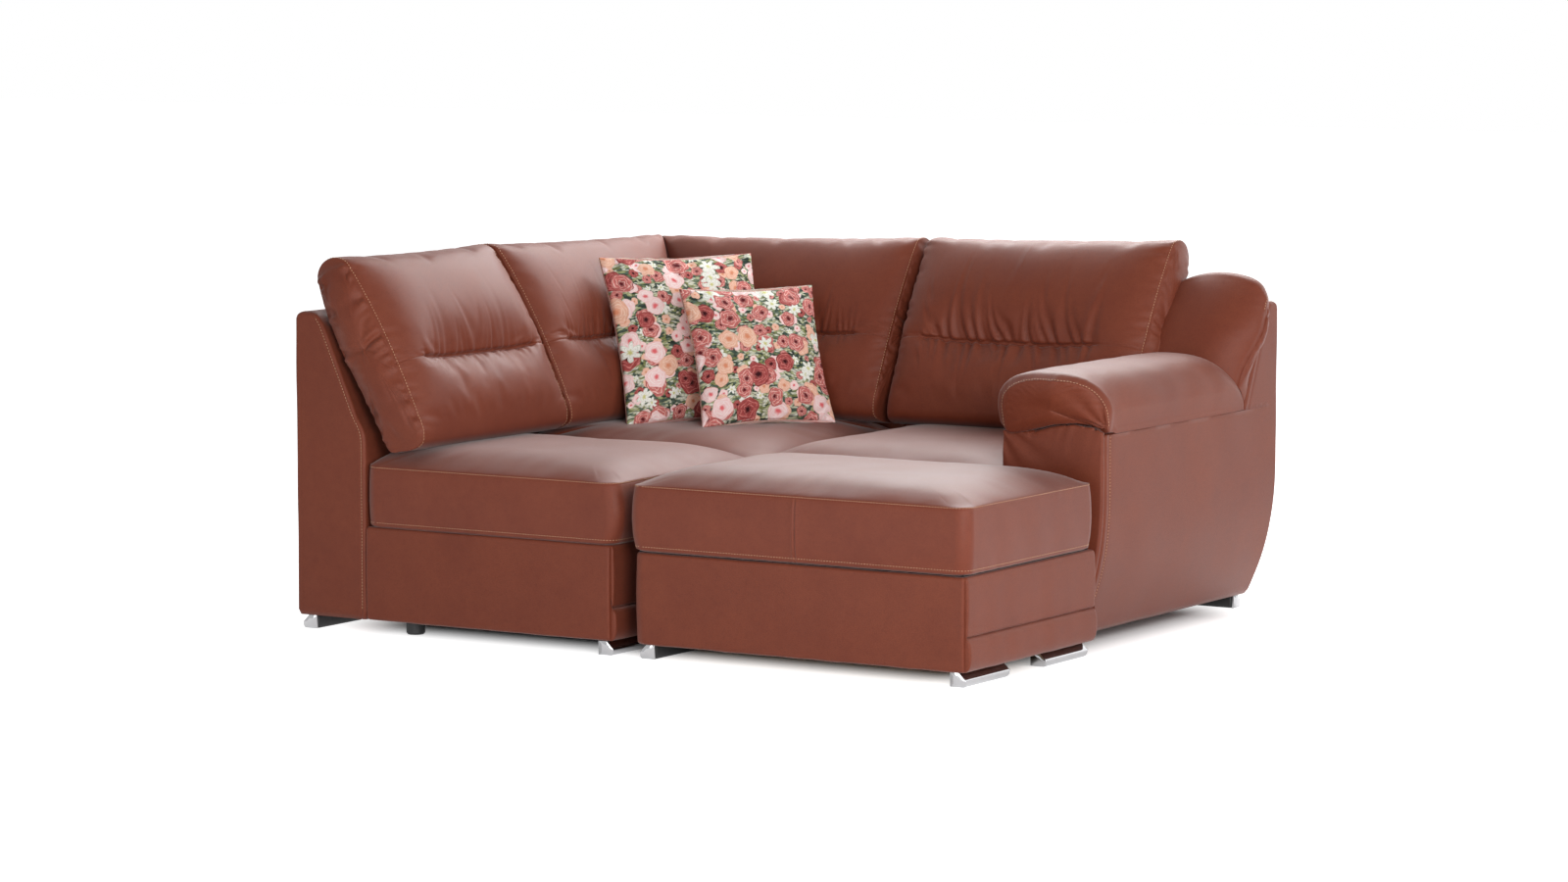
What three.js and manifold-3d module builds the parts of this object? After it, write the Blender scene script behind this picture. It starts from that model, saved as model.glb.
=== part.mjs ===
// Modular corner sofa: an end seat, a corner seat and a seat with an armrest, bolted side by side
// in an L, and a storage ottoman that stands in the open corner. Millimetres, +Z up, X along the
// front from the outer left side, Y from the front to the rear.
import * as THREE from "three";
import { mergeVertices } from "three/addons/utils/BufferGeometryUtils.js";
import Module from "manifold-3d";

// Plan of the units
const sofaDepth = 1600;
const endUnitDepth = 652;
const leftUnitsWidth = 941;
const armUnitWidth = 979;
const armUnitFront = 662;
const unitGap = 5;
const fitGap = 0.3;
const panelGap = 1;

// Heights
const groundClearance = 36;
const seatLowerSeam = 269;
const seatTopSeam = 418;
const seatEdgeRise = 17;
const seatCrown = 24;

// Seat cushions
const seatCornerRadius = 34;
const seatEdgeInset = 34;
const seatFreeBulge = 24;
const seatHiddenBulge = 1;
const seatBackEdgeShare = 0.2;
const seatCrownPower = 5;

// Upholstered boards round the bases
const coverThickness = 30;
const bandHeight = 81;
const bandBulge = 9;
const foldDepth = 7;
const foldHeight = 9;
const coverEdgeRadius = 10;

// Back shells, seen from their end
const backFootThickness = 212;
const backShellTop = 795;
const backBendHeight = 476;
const backBendRise = 60;
const backBendInset = 24;
const backTopThickness = 92;
const backSlopeTop = 752;
const backCornerRadius = 22;

// Back cushions
const backLean = THREE.MathUtils.degToRad(26.5);
const backCushionGusset = 118;
const backCushionHeight = 500;
const backCushionCrown = 40;
const backCushionRearBulge = 22;
const backCushionTuftDepth = 30;
const backCushionEndBulge = 13;
const backCushionHiddenBulge = 1;
const backCushionSeamInset = 14;
const backCushionSag = 27;
const backCushionGap = 12;
const backCushionTopPuff = 10;
const cushionFlare = 64;
const gussetTaperShare = 0.28;
const tuftHeightShare = 0.37;
const tuftWidthShare = 0.055;
const tuftStartShare = 0.13;
const tuftEndShare = 0.9;
const tuftFadeShare = 0.1;
const crownFullness = 0.6;
const crownEndPower = 3;
const puffEndPower = 4;
const gussetTaperPower = 3;
const rearBulgePower = 1.6;
const topArcShare = 0.1;
const cushionFlareFromShare = 0.1;
const cushionFlareOverShare = 0.26;
const endKeepShare = 0.7;
const endSwellShare = 0.8;

// Armrest
const armThickness = 275;
const armHeight = 529;
const armFacingThickness = 13;
const armTuckDepth = 80;
const armTuckHeight = 350;
const padOverhang = 13;
const padTop = 690;
const padNose = 68;
const padNoseLean = 52;
const padRearSetback = 194;
const padRoundLength = 155;
const padRoundOverShare = 1.04;
const padEndWidthShare = 0.94;
const padEndHeightShare = 0.02;
const padWaistShare = 0.36;
const padNoseShare = 0.06;
const padNoseSoftShare = 0.16;
const padLeanShare = 0.3;
const padSteps = 26;
const padUpperPowers = { height: 0.85, width: 0.8 };
const padLowerPowers = { height: 0.35, width: 0.25 };
const earGusset = 104;
const earHeight = 318;
const earCrown = 20;
const earOverhang = 34;
const earTopRise = 56;
const earTopTilt = 60;
const earFlareFromShare = 0.15;
const earFlareOverShare = 0.6;
const earRoundFromShare = 0.6;
const earRoundShare = 0.5;
const earFootLift = 25;

// Timber frames under the seats, and the lining below them
const railThickness = 25;
const legBlockSize = 84;
const legBlockHeight = 30;
const liningThickness = 1.2;

// Zigzag springs
const springWire = 4;
const springPitch = 80;
const springSwing = 24;
const springCount = 5;
const springSeatLap = 16;
const springEdgeMargin = 95;
const tieWire = 2.4;
const tieShares = [0.34, 0.66];

// Bolts that hold the units together
const boltDiameter = 8;
const boltHoleClearance = 0.6;
const boltHeadWidth = 15;
const boltHeadHeight = 6;
const boltHeight = 150;
const boltEdgeMargin = 150;

// Round legs
const legDiameter = 47;
const legFootDiameter = 40;
const legFootHeight = 4;
const legInset = 43;
const endLegOffset = 98;

// Bar feet
const barFootLength = 210;
const barFootWidth = 45;
const barFootNose = 9;
const barFootEndRadius = 18;
const barFootSetback = 16;
const barFootSideInset = 4;
const barFootBulgeShares = [0.2, 0.7];

// Ottoman
const ottomanGap = 62;
const ottomanFrontStep = 4;
const ottomanWidth = 916;
const ottomanDepth = 630;
const ottomanBaseTop = 258;
const ottomanCornerRadius = 34;
const ottomanSideBulge = 9;
const ottomanFootSideInset = 8;
const floorPanelThickness = 12;
const lidBoardThickness = 10;
const lidBoardInset = 14;
const locatingBlockSize = 34;
const locatingBlockDepth = 26;
const locatingClearance = 3;

// Scatter cushions
const rearScatterWidth = 434;
const rearScatterHeight = 465;
const rearScatterThickness = 106;
const frontScatterWidth = 378;
const frontScatterHeight = 380;
const frontScatterThickness = 104;
const scatterEdge = 5;
const scatterPinch = 15;
const scatterFullness = 0.42;
const rearScatterX = 555;
const rearScatterSetback = 583;
const rearScatterTurn = THREE.MathUtils.degToRad(56);
const rearScatterLean = THREE.MathUtils.degToRad(24);
const frontScatterX = 742;
const frontScatterSetback = 562;
const frontScatterTurn = THREE.MathUtils.degToRad(56);
const frontScatterLean = THREE.MathUtils.degToRad(23);

// One overrun for every cut that runs out of a piece
const overrun = 60;

// Materials
const finish = {
  leather: { color: 0x6e3a2e, roughness: 0.48, metalness: 0 },
  print: { color: 0xb8a494, roughness: 0.9, metalness: 0 },
  chrome: { color: 0xd9dadc, roughness: 0.1, metalness: 1 },
  plastic: { color: 0x161618, roughness: 0.6, metalness: 0 },
  timber: { color: 0xb98d5a, roughness: 0.8, metalness: 0 },
  steel: { color: 0x8b8f94, roughness: 0.35, metalness: 1 },
  lining: { color: 0x202022, roughness: 0.95, metalness: 0 },
};

const wasm = await Module();
wasm.setup();

// Solids for joining and cutting

function toSolid(geometry) {
  const bare = geometry.clone();
  bare.deleteAttribute("normal");
  bare.deleteAttribute("uv");
  const merged = mergeVertices(bare);
  return new wasm.Manifold(
    new wasm.Mesh({
      numProp: 3,
      vertProperties: merged.attributes.position.array,
      triVerts: new Uint32Array(merged.index.array),
    }),
  );
}

function toGeometry(solid) {
  const mesh = solid.getMesh();
  const geometry = new THREE.BufferGeometry();
  geometry.setAttribute("position", new THREE.BufferAttribute(mesh.vertProperties, 3));
  geometry.setIndex(new THREE.BufferAttribute(mesh.triVerts, 1));
  geometry.computeVertexNormals();
  return geometry;
}

function join(first, ...others) {
  return toGeometry(others.reduce((sum, next) => sum.add(toSolid(next)), toSolid(first)));
}

function cut(body, ...tools) {
  return toGeometry(tools.reduce((rest, tool) => rest.subtract(toSolid(tool)), toSolid(body)));
}

function common(first, second) {
  return toGeometry(toSolid(first).intersect(toSolid(second)));
}

// Prisms and boxes

function outline(points) {
  return new THREE.Shape(points.map(([a, b]) => new THREE.Vector2(a, b)));
}

function prism(shape, from, to, across, up, along, curveSegments) {
  const geometry = new THREE.ExtrudeGeometry(shape, {
    depth: to - from,
    bevelEnabled: false,
    curveSegments,
  });
  const axes = new THREE.Matrix4().makeBasis(across, up, along);
  return geometry.applyMatrix4(axes).translate(...along.clone().multiplyScalar(from).toArray());
}

const axisX = new THREE.Vector3(1, 0, 0);
const axisY = new THREE.Vector3(0, 1, 0);
const axisZ = new THREE.Vector3(0, 0, 1);

// A shape drawn in Y and Z, carried along X
function prismAlongX(shape, from, to, curveSegments = 6) {
  return prism(shape, from, to, axisY, axisZ, axisX, curveSegments);
}

// A shape drawn in X and Z, carried along Y
function prismAlongY(shape, from, to, curveSegments = 6) {
  const back = axisY.clone().negate();
  return prism(shape, -to, -from, axisX, axisZ, back, curveSegments);
}

// A shape drawn in X and Y, carried along Z
function prismAlongZ(shape, from, to, curveSegments = 6) {
  return prism(shape, from, to, axisX, axisY, axisZ, curveSegments);
}

function box(x0, x1, y0, y1, z0, z1) {
  const geometry = new THREE.BoxGeometry(x1 - x0, y1 - y0, z1 - z0);
  return geometry.translate((x0 + x1) / 2, (y0 + y1) / 2, (z0 + z1) / 2);
}

// A closed skin over a row of rings with equal numbers of points, with a fan at each end
function loft(rings, startCentre, endCentre) {
  const count = rings[0].length;
  const points = [...rings.flat(), startCentre, endCentre];
  const start = points.length - 2;
  const end = points.length - 1;
  const faces = [];
  rings.slice(1).forEach((_, r) => {
    for (let i = 0; i < count; i++) {
      const a = r * count + i;
      const b = r * count + ((i + 1) % count);
      faces.push([a, b, b + count], [a, b + count, a + count]);
    }
  });
  const last = (rings.length - 1) * count;
  for (let i = 0; i < count; i++) {
    const next = (i + 1) % count;
    faces.push([start, next, i], [end, last + i, last + next]);
  }
  const volume = faces.reduce((sum, [a, b, c]) => {
    return sum + points[a].dot(points[b].clone().cross(points[c]));
  }, 0);
  const index = faces.flatMap(([a, b, c]) => (volume < 0 ? [a, c, b] : [a, b, c]));
  const geometry = new THREE.BufferGeometry().setFromPoints(points);
  geometry.setIndex(index);
  geometry.computeVertexNormals();
  return geometry;
}

function centreOf(ring) {
  const sum = ring.reduce((total, point) => total.add(point), new THREE.Vector3());
  return sum.divideScalar(ring.length);
}

function smooth(value) {
  const share = THREE.MathUtils.clamp(value, 0, 1);
  return share * share * (3 - 2 * share);
}

// Seat cushions: a sewn border with bulging sides, a rolled top edge and a crowned top

function roundedRing(x0, x1, y0, y1, radius, z) {
  const arcSteps = 4;
  const sideSteps = 3;
  const corners = [
    [x1 - radius, y1 - radius, 0],
    [x0 + radius, y1 - radius, 1],
    [x0 + radius, y0 + radius, 2],
    [x1 - radius, y0 + radius, 3],
  ];
  const arcs = corners.map(([cx, cy, quarter]) => {
    return Array.from({ length: arcSteps + 1 }, (_, i) => {
      const angle = (quarter + i / arcSteps) * (Math.PI / 2);
      const x = cx + radius * Math.cos(angle);
      return new THREE.Vector3(x, cy + radius * Math.sin(angle), z);
    });
  });
  return arcs.flatMap((arc, k) => {
    const from = arc[arcSteps];
    const to = arcs[(k + 1) % arcs.length][0];
    const side = Array.from({ length: sideSteps - 1 }, (_, i) => {
      return from.clone().lerp(to, (i + 1) / sideSteps);
    });
    return [...arc, ...side];
  });
}

// Each side has its bulge, and a share of the rolled edge that is small where a back stands
const wholeEdge = { left: 1, right: 1, front: 1, rear: 1 };

function seatCushion(plan, bottom, bulge, edgeShares = wholeEdge) {
  const { x0, x1, y0, y1 } = plan;
  const border = seatTopSeam - bottom;
  const edgeTop = seatTopSeam + seatEdgeRise;
  // Height share of the border, share of the bulge, share of the edge inset
  const borderShares = [
    [0, 0],
    [0.2, 0.7],
    [0.5, 1],
    [0.8, 0.8],
    [1, 0.35],
  ];
  const rollShares = [
    [0.4, 0.07],
    [0.72, 0.3],
    [1, 1],
  ];
  const crownShares = [0.78, 0.52, 0.26];
  const ringAt = (inset, swell, z) => {
    const radius = Math.max(seatCornerRadius - inset / 2, seatCornerRadius / 4);
    return roundedRing(
      x0 + inset * edgeShares.left - bulge.left * swell,
      x1 - inset * edgeShares.right + bulge.right * swell,
      y0 + inset * edgeShares.front - bulge.front * swell,
      y1 - inset * edgeShares.rear + bulge.rear * swell,
      radius,
      z,
    );
  };
  const rings = borderShares.map(([up, swell]) => ringAt(0, swell, bottom + border * up));
  rollShares.forEach(([up, inwards]) => {
    rings.push(ringAt(seatEdgeInset * inwards, 0, seatTopSeam + seatEdgeRise * up));
  });
  const edge = rings[rings.length - 1];
  const middle = centreOf(edge);
  crownShares.forEach((share) => {
    const lift = seatCrown * (1 - share ** seatCrownPower);
    rings.push(edge.map((point) => middle.clone().lerp(point, share).setZ(edgeTop + lift)));
  });
  const underside = middle.clone().setZ(bottom);
  return loft(rings, underside, middle.clone().setZ(edgeTop + seatCrown));
}

// Upholstered boards

// Outer face towards +X, with a padded band along the foot and a fold above it
function bandedSection(face, top) {
  const shape = new THREE.Shape();
  const bandTop = groundClearance + bandHeight;
  shape.moveTo(face - coverThickness, groundClearance);
  shape.lineTo(face - coverEdgeRadius, groundClearance);
  shape.quadraticCurveTo(face + bandBulge, groundClearance, face + bandBulge, bandTop - bandHeight / 2);
  shape.quadraticCurveTo(face + bandBulge, bandTop, face - foldDepth, bandTop);
  shape.quadraticCurveTo(face, bandTop, face, bandTop + foldHeight);
  shape.lineTo(face, top - coverEdgeRadius);
  shape.quadraticCurveTo(face, top, face - coverEdgeRadius, top);
  shape.lineTo(face - coverThickness, top);
  return shape;
}

// Outer face towards -Y, drawn in Y and Z
function plainSection(face, top) {
  const shape = new THREE.Shape();
  shape.moveTo(face + coverThickness, groundClearance);
  shape.lineTo(face + coverThickness, top);
  shape.lineTo(face + coverEdgeRadius, top);
  shape.quadraticCurveTo(face, top, face, top - coverEdgeRadius);
  shape.lineTo(face, groundClearance + coverEdgeRadius);
  shape.quadraticCurveTo(face, groundClearance, face + coverEdgeRadius, groundClearance);
  return shape;
}

// Back shells: upright outside, bent and sloped inside, rounded along the top

function backShellShape() {
  const bendTop = backBendHeight + backBendRise;
  const shape = new THREE.Shape();
  shape.moveTo(0, groundClearance);
  shape.lineTo(backFootThickness, groundClearance);
  shape.lineTo(backFootThickness, backBendHeight);
  shape.quadraticCurveTo(
    backFootThickness,
    bendTop - backBendRise / 2,
    backFootThickness - backBendInset,
    bendTop,
  );
  shape.lineTo(backTopThickness, backSlopeTop);
  shape.quadraticCurveTo(
    backTopThickness - backCornerRadius,
    backShellTop,
    backTopThickness - 2 * backCornerRadius,
    backShellTop,
  );
  shape.lineTo(backCornerRadius, backShellTop);
  shape.absarc(
    backCornerRadius,
    backShellTop - backCornerRadius,
    backCornerRadius,
    Math.PI / 2,
    Math.PI,
    false,
  );
  return shape;
}

// The same section for a back along the rear, with its outer face at sofaDepth
function rearShellShape() {
  const points = backShellShape().getPoints(5);
  return new THREE.Shape(points.map((p) => new THREE.Vector2(sofaDepth - p.x, p.y)).reverse());
}

// Everything past the upright plane that splits the corner from front left to outer rear left
function cornerWedge(keepLeft, gap) {
  const reach = sofaDepth + overrun;
  const offset = keepLeft ? -gap / 2 : gap / 2;
  const line = [
    [-overrun, sofaDepth + overrun + offset],
    [reach, sofaDepth - reach + offset],
  ];
  const far = keepLeft ? [reach, reach + overrun] : [-overrun, sofaDepth - reach - overrun];
  const triangle = keepLeft ? [line[0], line[1], far] : [line[1], line[0], far];
  return prismAlongZ(outline(triangle), -overrun, backShellTop + backCushionHeight);
}

// Back cushions: a leaning pad whose gusset ends are framed by seams, with a crowned front that is
// drawn in along one sewn tuft. Across is the direction of its width, towards faces the sitter.

// How far the shell reaches along the pad's own facing direction
function shellReach() {
  const points = backShellShape().getPoints(5);
  return Math.max(...points.map((p) => p.x * Math.cos(backLean) + p.y * Math.sin(backLean)));
}

function frontCrown(up, along, pad) {
  const ends = (1 - Math.abs(2 * along - 1) ** crownEndPower) ** crownFullness;
  const puff = pad.crown * Math.sin(Math.PI * up) ** crownFullness;
  const fadeIn = smooth((along - tuftStartShare) / tuftFadeShare);
  const fade = fadeIn * smooth((tuftEndShare - along) / tuftFadeShare);
  const valley = Math.exp(-Math.pow((up - tuftHeightShare) / tuftWidthShare, 2));
  return puff * ends - pad.tuft * fade * valley * ends;
}

// Drawn in towards the rear by a quarter ellipse near the far end
function endRound(along, pad) {
  const past = Math.max(0, (along - pad.roundFromShare) / (1 - pad.roundFromShare));
  return 1 - pad.roundShare * (1 - Math.sqrt(1 - past * past));
}

function padSection(along, pad) {
  const ends = Math.sqrt(1 - Math.abs(2 * along - 1) ** puffEndPower);
  const taper = (up) => 1 - gussetTaperShare * up ** gussetTaperPower;
  const front = (up) => {
    return endRound(along, pad) * (pad.gusset * taper(up) + frontCrown(up, along, pad));
  };
  const rear = (up) => -pad.rearBulge * Math.sin(Math.PI * up ** rearBulgePower);
  const besideTuftShares = [-0.07, -0.045, -0.022, 0, 0.022, 0.045, 0.08];
  const frontShares = [
    0.02,
    0.09,
    0.17,
    0.24,
    ...besideTuftShares.map((share) => tuftHeightShare + share),
    0.55,
    0.67,
    0.79,
    0.9,
  ];
  const topShares = [0.2, 0.4, 0.6, 0.8];
  const rearShares = [0.9, 0.75, 0.55, 0.35, 0.15];
  const rise = 1 + (pad.topRise * ends - pad.topTilt * (1 - along)) / pad.height;
  const section = [];
  const bottomShares = [
    [0, 0],
    [0.3, 0.68],
    [0.6, 1],
    [0.88, 0.78],
  ];
  bottomShares.forEach(([n, t]) => section.push([endRound(along, pad) * pad.gusset * n, -pad.sag * t]));
  frontShares.forEach((up) => section.push([front(up), up * pad.height * rise]));
  const frontEndShare = frontShares[frontShares.length - 1];
  const from = front(frontEndShare);
  const to = rear(rearShares[0]);
  topShares.forEach((share) => {
    const angle = Math.PI * share;
    const width = (from + to) / 2 + ((from - to) / 2) * Math.cos(angle);
    const baseShare = THREE.MathUtils.lerp(frontEndShare, rearShares[0], share);
    section.push([width, (baseShare + topArcShare * Math.sin(angle)) * pad.height * rise]);
  });
  rearShares.forEach((up) => section.push([rear(up), up * pad.height * rise]));
  return section;
}

function leaningPad(pad, base, across, towards) {
  const out = towards.clone().multiplyScalar(Math.cos(backLean)).addScaledVector(axisZ, Math.sin(backLean));
  const up = towards.clone().multiplyScalar(-Math.sin(backLean)).addScaledVector(axisZ, Math.cos(backLean));
  const stationShares = [0, 0.03, 0.08, 0.14, 0.2, 0.32, 0.44, 0.56, 0.68, 0.8, 0.87, 0.92, 0.97, 1];
  const place = (along, n, t, bulge) => {
    const spreadShare = (t / pad.height - pad.flareFromShare) / pad.flareOverShare;
    const spread = smooth(spreadShare) * smooth(2 * along - 1);
    return base
      .clone()
      .addScaledVector(across, along * pad.width + pad.flare * spread + bulge)
      .addScaledVector(out, n)
      .addScaledVector(up, t);
  };
  const middleAt = (along) => (pad.gusset / 2) * endRound(along, pad);
  const middleT = pad.height / 2;
  const ringAt = (along, keep = 1, bulge = 0) => {
    const middleN = middleAt(along);
    return padSection(along, pad).map(([n, t]) => {
      return place(along, middleN + (n - middleN) * keep, middleT + (t - middleT) * keep, bulge);
    });
  };
  const rings = stationShares.map((along) => ringAt(along));
  rings.unshift(ringAt(0, endKeepShare, -pad.startBulge * endSwellShare));
  rings.push(ringAt(1, endKeepShare, pad.endBulge * endSwellShare));
  const startCentre = place(0, middleAt(0), middleT, -pad.startBulge);
  return loft(rings, startCentre, place(1, middleAt(1), middleT, pad.endBulge));
}

const backPad = {
  gusset: backCushionGusset,
  height: backCushionHeight,
  crown: backCushionCrown,
  tuft: backCushionTuftDepth,
  rearBulge: backCushionRearBulge,
  sag: backCushionSag,
  topRise: backCushionTopPuff,
  topTilt: 0,
  roundFromShare: earRoundFromShare,
  roundShare: 0,
  flare: 0,
  flareFromShare: cushionFlareFromShare,
  flareOverShare: cushionFlareOverShare,
  startBulge: backCushionHiddenBulge,
  endBulge: backCushionHiddenBulge,
};

const seatTop = seatTopSeam + seatEdgeRise + seatCrown;

// Distance from a back's outer face to the rear lower edge of a pad that leans on the shell,
// with that edge at the height rest
function padSetOff(rest, space) {
  const reach = shellReach() + space + fitGap;
  return (reach - rest * Math.sin(backLean)) / Math.cos(backLean);
}

const backCushionSpace = backCushionRearBulge + backCushionGap;

function leftPadBase(y) {
  return new THREE.Vector3(padSetOff(seatTop, backCushionSpace), y, seatTop + backCushionSag);
}

function rearPadBase(x) {
  return new THREE.Vector3(x, sofaDepth - padSetOff(seatTop, backCushionSpace), seatTop + backCushionSag);
}

const towardsRight = axisX.clone();
const towardsFront = axisY.clone().negate();

// Armrest: its outer side tucks in towards the floor

const armInner = leftUnitsWidth + unitGap + armUnitWidth - armThickness;
const armOuter = armInner + armThickness;
const padRearEnd = sofaDepth - padRearSetback;

// The width of the arm, drawn in X and Z
function armEndShape(top) {
  const shape = new THREE.Shape();
  const foot = armOuter - armTuckDepth;
  shape.moveTo(armInner, groundClearance);
  shape.lineTo(foot, groundClearance);
  shape.bezierCurveTo(
    foot + armTuckDepth / 2,
    groundClearance + armTuckHeight / 4,
    armOuter,
    groundClearance + armTuckHeight / 2,
    armOuter,
    groundClearance + armTuckHeight,
  );
  shape.lineTo(armOuter, top);
  shape.lineTo(armInner, top);
  return shape;
}

function armBody() {
  const shell = backShellShape().getPoints(5);
  const above = shell.findIndex((p) => p.y > armHeight);
  const [low, high] = [shell[above - 1], shell[above]];
  const share = (armHeight - low.y) / (high.y - low.y);
  const foot = new THREE.Vector2().lerpVectors(low, high, share);
  const profile = [foot, ...shell.filter((p) => p.y > armHeight && p.x > 0)];
  const side = [
    [armUnitFront, groundClearance],
    [armUnitFront, armHeight],
    ...profile.map((p) => [sofaDepth - p.x, p.y]),
    [sofaDepth, backShellTop - backCornerRadius],
    [sofaDepth, groundClearance],
  ];
  const long = prismAlongX(outline(side), armInner, armOuter);
  const end = armEndShape(backShellTop + overrun);
  const across = prismAlongY(end, armUnitFront - overrun, sofaDepth + overrun);
  return common(long, across);
}

// Grow widens the pad all round, for the spaces that its neighbours leave for it
function armPad(grow) {
  const left = armInner - padOverhang - grow;
  const right = armOuter + padOverhang + grow;
  const bottom = armHeight + fitGap - grow;
  const nose = armUnitFront - padNose;
  const length = padRearEnd - nose;
  const roundFrom = padRearEnd - padRoundLength;
  const stationShares = [0, 0.02, 0.06, 0.15, 0.3, 0.48, 0.64, 0.74, 0.84, 0.92, 0.97, 1];
  const rings = stationShares.map((share) => {
    const along = nose + share * length;
    const y = along + (2 * share - 1) * grow;
    const pastShare = Math.max(0, (along - roundFrom) / (padRoundLength * padRoundOverShare));
    const roundShare = Math.sqrt(1 - pastShare * pastShare);
    const softShare = 1 - padNoseSoftShare * (1 - smooth(share / padNoseShare)) ** 2;
    const widthShare = THREE.MathUtils.lerp(padEndWidthShare, 1, roundShare);
    const heightShare = THREE.MathUtils.lerp(padEndHeightShare, 1, roundShare);
    const halfWidth = ((right - left) / 2) * softShare * widthShare;
    const middle = left + ((right - left) / 2) * widthShare;
    const top = bottom + (padTop + grow - bottom) * softShare * heightShare;
    const waist = bottom + (top - bottom) * padWaistShare;
    const lean = padNoseLean * (1 - smooth(share / padLeanShare));
    return Array.from({ length: padSteps }, (_, i) => {
      const angle = (i / padSteps) * 2 * Math.PI;
      const sine = Math.sin(angle);
      const cosine = Math.cos(angle);
      const power = sine > 0 ? padUpperPowers : padLowerPowers;
      const room = sine > 0 ? top - waist : waist - bottom;
      const z = waist + Math.sign(sine) * room * Math.abs(sine) ** power.height;
      const x = middle + halfWidth * Math.sign(cosine) * Math.abs(cosine) ** power.width;
      return new THREE.Vector3(x, y + (lean * (top - z)) / (top - bottom), z);
    });
  });
  return loft(rings, centreOf(rings[0]), centreOf(rings[rings.length - 1]));
}

const earPad = {
  ...backPad,
  gusset: earGusset,
  height: earHeight,
  crown: earCrown,
  tuft: 0,
  rearBulge: 0,
  sag: 0,
  topRise: earTopRise,
  topTilt: earTopTilt,
  roundShare: earRoundShare,
  width: armThickness - panelGap,
  flare: earOverhang,
  flareFromShare: earFlareFromShare,
  flareOverShare: earFlareOverShare,
  startBulge: backCushionHiddenBulge,
  endBulge: backCushionSeamInset,
};

// The ear rests on the rear end of the pad, so it keeps out of the low corners beside it
function armEar(grow) {
  const rest = armHeight + fitGap;
  const rear = sofaDepth - padSetOff(rest, 0) + grow;
  const base = new THREE.Vector3(armInner + panelGap - grow, rear, rest);
  const pad = {
    ...earPad,
    width: earPad.width + grow,
    gusset: earGusset + 2 * grow,
    height: earHeight + grow,
  };
  const besidePad = box(
    armInner - overrun,
    armOuter + 2 * padOverhang,
    armUnitFront,
    padRearEnd + panelGap,
    armHeight,
    rest + earFootLift,
  );
  return cut(leaningPad(pad, base, axisX, towardsFront), armPad(fitGap), besidePad);
}

// Timber frames, springs, lining and bolts

const frameBottom = groundClearance + liningThickness + fitGap;
const frameTop = seatLowerSeam - springWire - 2 * fitGap;

function boltHole(at, along) {
  const radius = boltDiameter / 2 + boltHoleClearance;
  const hole = new THREE.CylinderGeometry(radius, radius, 2 * overrun, 12);
  if (along === "x") hole.rotateZ(Math.PI / 2);
  return hole.translate(at.x, at.y, at.z);
}

// A box of four rails on edge, with a block at each leg
function timberFrame(plan, legs, holes) {
  const { x0, x1, y0, y1 } = plan;
  const outer = box(x0, x1, y0, y1, frameBottom, frameTop);
  const inner = box(
    x0 + railThickness,
    x1 - railThickness,
    y0 + railThickness,
    y1 - railThickness,
    frameBottom - overrun,
    frameTop + overrun,
  );
  const half = legBlockSize / 2;
  const blocks = legs.map(({ x, y }) => {
    return box(
      Math.max(x - half, x0),
      Math.min(x + half, x1),
      Math.max(y - half, y0),
      Math.min(y + half, y1),
      frameBottom,
      frameBottom + legBlockHeight,
    );
  });
  return cut(join(cut(outer, inner), ...blocks), ...holes);
}

// One zigzag spring as a flat band, bent to and fro about a centre line along X
function zigzag(from, to, centre) {
  const bends = 2 * Math.round((to - from) / springPitch);
  const step = (to - from) / bends;
  const slant = Math.hypot(step, 2 * springSwing);
  const half = (springWire / 2) * (slant / step);
  const middle = Array.from({ length: bends + 1 }, (_, i) => {
    const swing = i === 0 || i === bends ? 0 : (i % 2 ? 1 : -1) * springSwing;
    return [from + i * step, centre + swing];
  });
  const upper = middle.map(([x, y]) => [x, y + half]);
  const lower = middle.map(([x, y]) => [x, y - half]).reverse();
  return prismAlongZ(outline([...upper, ...lower]), 0, springWire);
}

// Springs across the frame, linked by tie wires
function springDeck(plan, along) {
  const turned = along === "y";
  const [a0, a1] = turned ? [plan.y0, plan.y1] : [plan.x0, plan.x1];
  const [b0, b1] = turned ? [plan.x0, plan.x1] : [plan.y0, plan.y1];
  const from = a0 + railThickness - springSeatLap;
  const to = a1 - railThickness + springSeatLap;
  const first = b0 + springEdgeMargin;
  const spacing = (b1 - b0 - 2 * springEdgeMargin) / (springCount - 1);
  const springs = Array.from({ length: springCount }, (_, i) => zigzag(from, to, first + i * spacing));
  const ties = tieShares.map((share) => {
    const middle = from + (to - from) * share;
    const half = tieWire / 2;
    const low = first - springSwing;
    const high = first + (springCount - 1) * spacing + springSwing;
    const level = springWire / 2;
    return box(middle - half, middle + half, low, high, level - half, level + half);
  });
  const deck = join(...springs, ...ties).translate(0, 0, frameTop + fitGap);
  if (!turned) return deck;
  const swap = new THREE.Matrix4().makeBasis(axisY, axisX.clone().negate(), axisZ);
  const middle = (b0 + b1) / 2;
  return deck.translate(0, -middle, 0).applyMatrix4(swap).translate(middle, 0, 0);
}

function lining(plan) {
  const { x0, x1, y0, y1 } = plan;
  return box(x0, x1, y0, y1, groundClearance, groundClearance + liningThickness);
}

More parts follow.
